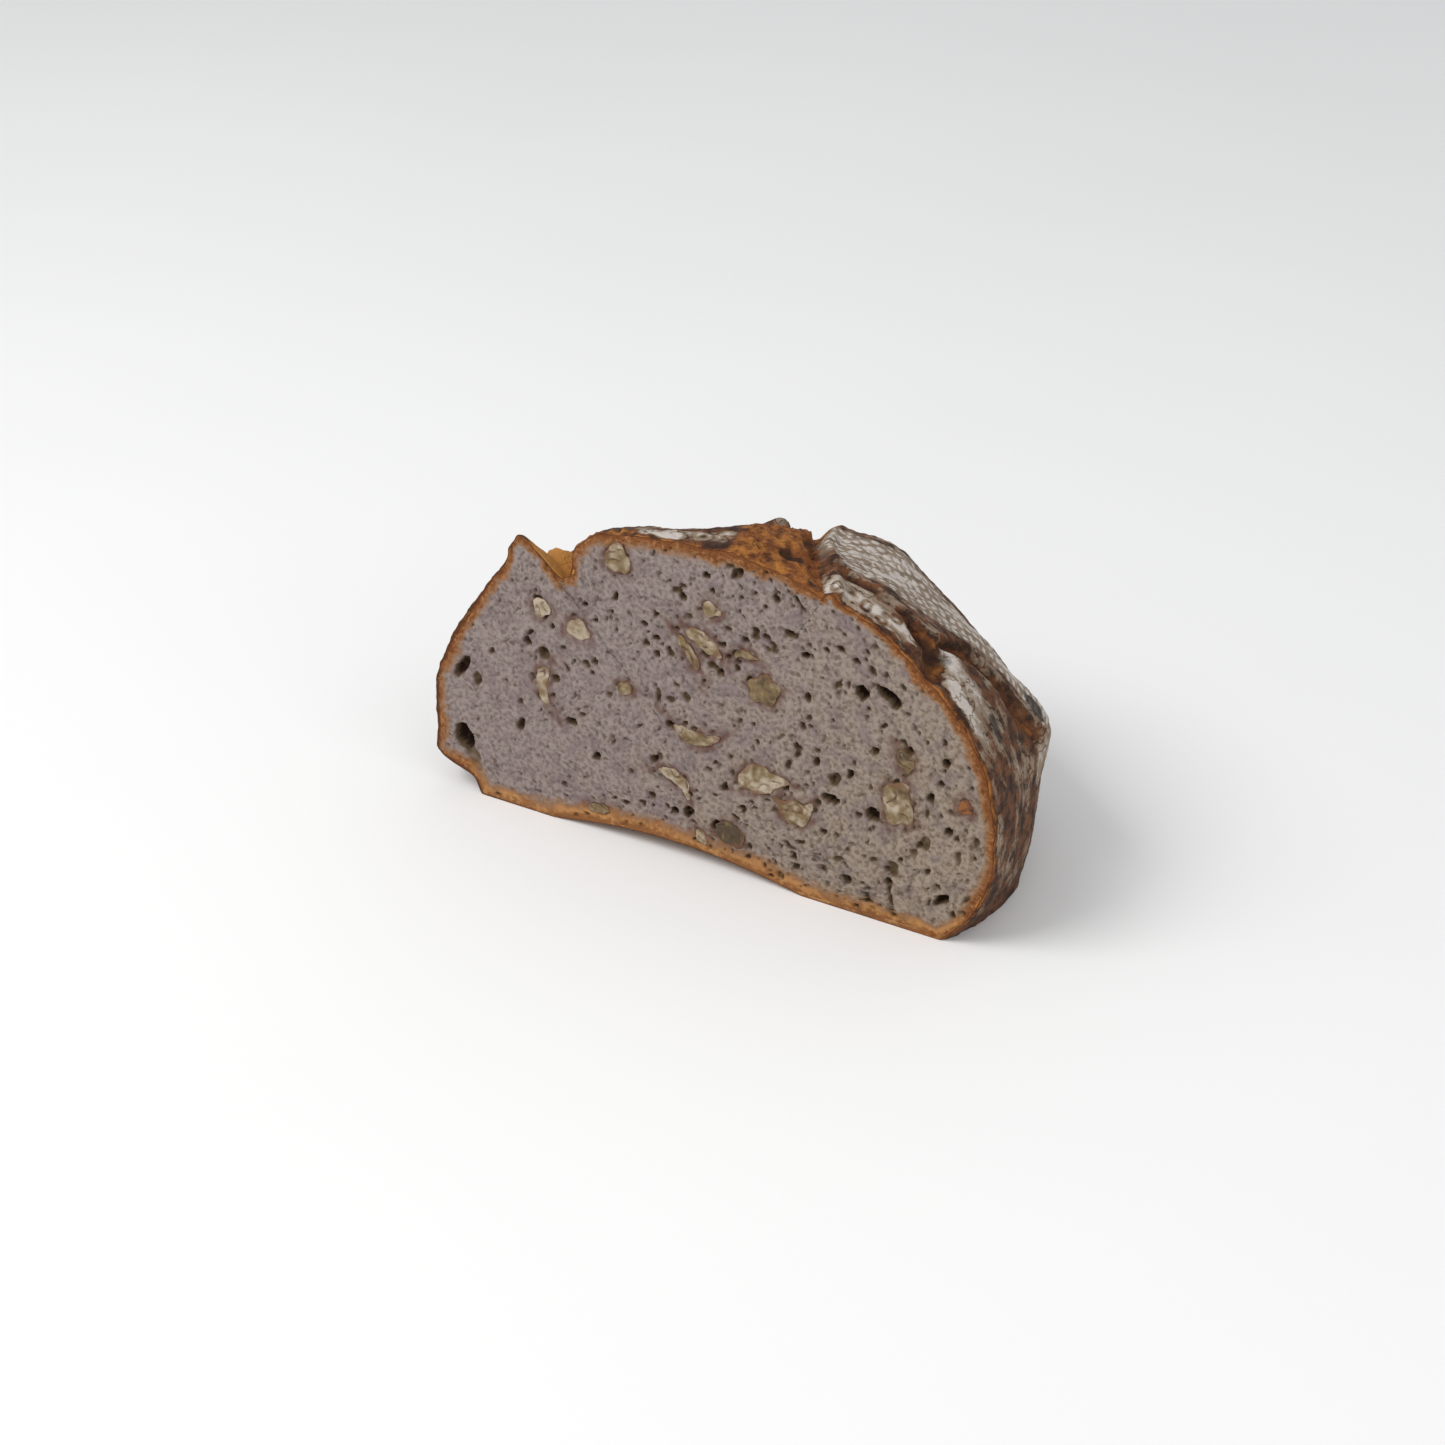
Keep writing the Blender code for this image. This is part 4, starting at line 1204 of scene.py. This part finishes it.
def walnut_material():
    """Walnut kernel: waxy cream to olive where the knife went through, with its thin brown skin
    at the edge and in the folds, and skin all over where it wasn't cut."""
    material, tree, shader = new_material("walnut_kernel_cut")
    place = object_place(tree)
    skin, tan = read_shares(tree, "skin", "tan")
    grainy = add_node(
        tree, "ShaderNodeTexNoise", {"Vector": place, "Scale": 1 / KERNEL_GRAIN, "Detail": 4.0}
    )
    cloudy = add_node(
        tree, "ShaderNodeTexNoise", {"Vector": place, "Scale": 1 / KERNEL_CLOUDS, "Detail": 3.0}
    )
    depth = total(tree, (tan, 1.0), (cloudy, 2.4), (1.0, -1.05))
    colour = coat(tree, linear("#AFA08B"), linear("#786240"), depth, -0.15, 0.7)
    colour = coat(tree, colour, linear("#4A3A25"), depth, 0.6, 1.2)
    skinned = coat(tree, linear("#472210"), linear("#8A5324"), cloudy, 0.40, 0.60)
    colour = coat(tree, colour, skinned, tan, 1.3, 1.9)
    colour = coat(tree, colour, linear("#6B5A3C"), grainy, 0.52, 0.75, 0.4)
    at_edge = total(tree, (skin, 1.0), (grainy, 1.0))
    colour = coat(tree, colour, linear("#6C452D"), at_edge, 0.7, 1.5, 0.62)
    tree.links.new(colour, shader.inputs["Base Color"])
    shader.inputs["Roughness"].default_value = 0.5
    shader.inputs["Specular IOR Level"].default_value = 0.35
    roughen(tree, shader, total(tree, (grainy, 1.0), (cloudy, 1.0)), KERNEL_BUMP, 0.6)
    return material


def floor_material():
    """Matt painted board: pale and even, so that the loaf's own colours show."""
    material, tree, shader = new_material("matt_painted_board")
    place = object_place(tree)
    cloudy = add_node(tree, "ShaderNodeTexNoise", {"Vector": place, "Scale": 1 / (300 * MM)})
    colour = coat(tree, linear("#F2F1EF"), linear("#F6F5F3"), cloudy, 0.0, 1.0)
    tree.links.new(colour, shader.inputs["Base Color"])
    shader.inputs["Roughness"].default_value = 0.9
    return material


# Studio


def add_floor():
    mesh = bmesh.new()
    bmesh.ops.create_grid(mesh, x_segments=1, y_segments=1, size=4)
    data = bpy.data.meshes.new("floor")
    mesh.to_mesh(data)
    mesh.free()
    data.materials.append(floor_material())
    floor = bpy.data.objects.new("floor", data)
    bpy.context.scene.collection.objects.link(floor)


def add_light(name, place, size, power):
    light = bpy.data.lights.new(name, "AREA")
    light.size = size
    light.energy = power
    lamp = bpy.data.objects.new(name, light)
    lamp.location = place
    lamp.rotation_euler = (Vector((0, 0, 0.05)) - Vector(place)).to_track_quat("-Z", "Y").to_euler()
    bpy.context.scene.collection.objects.link(lamp)


def add_studio():
    world = bpy.data.worlds.new("soft_room")
    world.use_nodes = True
    background = world.node_tree.nodes["Background"]
    background.inputs["Color"].default_value = (0.95, 0.97, 1, 1)
    background.inputs["Strength"].default_value = 0.62
    bpy.context.scene.world = world
    bpy.context.scene.view_settings.view_transform = "Standard"
    add_light("key", (-0.7, -0.9, 1.3), 0.9, 16)
    add_light("fill", (1.2, -0.6, 0.8), 1.2, 4)


def add_camera():
    azimuth, elevation = math.radians(CAMERA_AZIMUTH), math.radians(CAMERA_ELEVATION)
    back = Vector(
        (
            math.sin(azimuth) * math.cos(elevation),
            -math.cos(azimuth) * math.cos(elevation),
            math.sin(elevation),
        )
    )
    data = bpy.data.cameras.new("camera")
    data.lens = CAMERA_LENS
    data.sensor_width = 36
    camera = bpy.data.objects.new("camera", data)
    camera.location = CAMERA_PLACE
    camera.rotation_mode = "QUATERNION"
    camera.rotation_quaternion = (-back).to_track_quat("-Z", "Y")
    bpy.context.scene.collection.objects.link(camera)
    bpy.context.scene.camera = camera


add_crust(crust_material())
add_crumb(crumb_material())
kernel = walnut_material()
for nut in WALNUTS:
    add_walnut(nut, kernel)
add_floor()
add_studio()
add_camera()
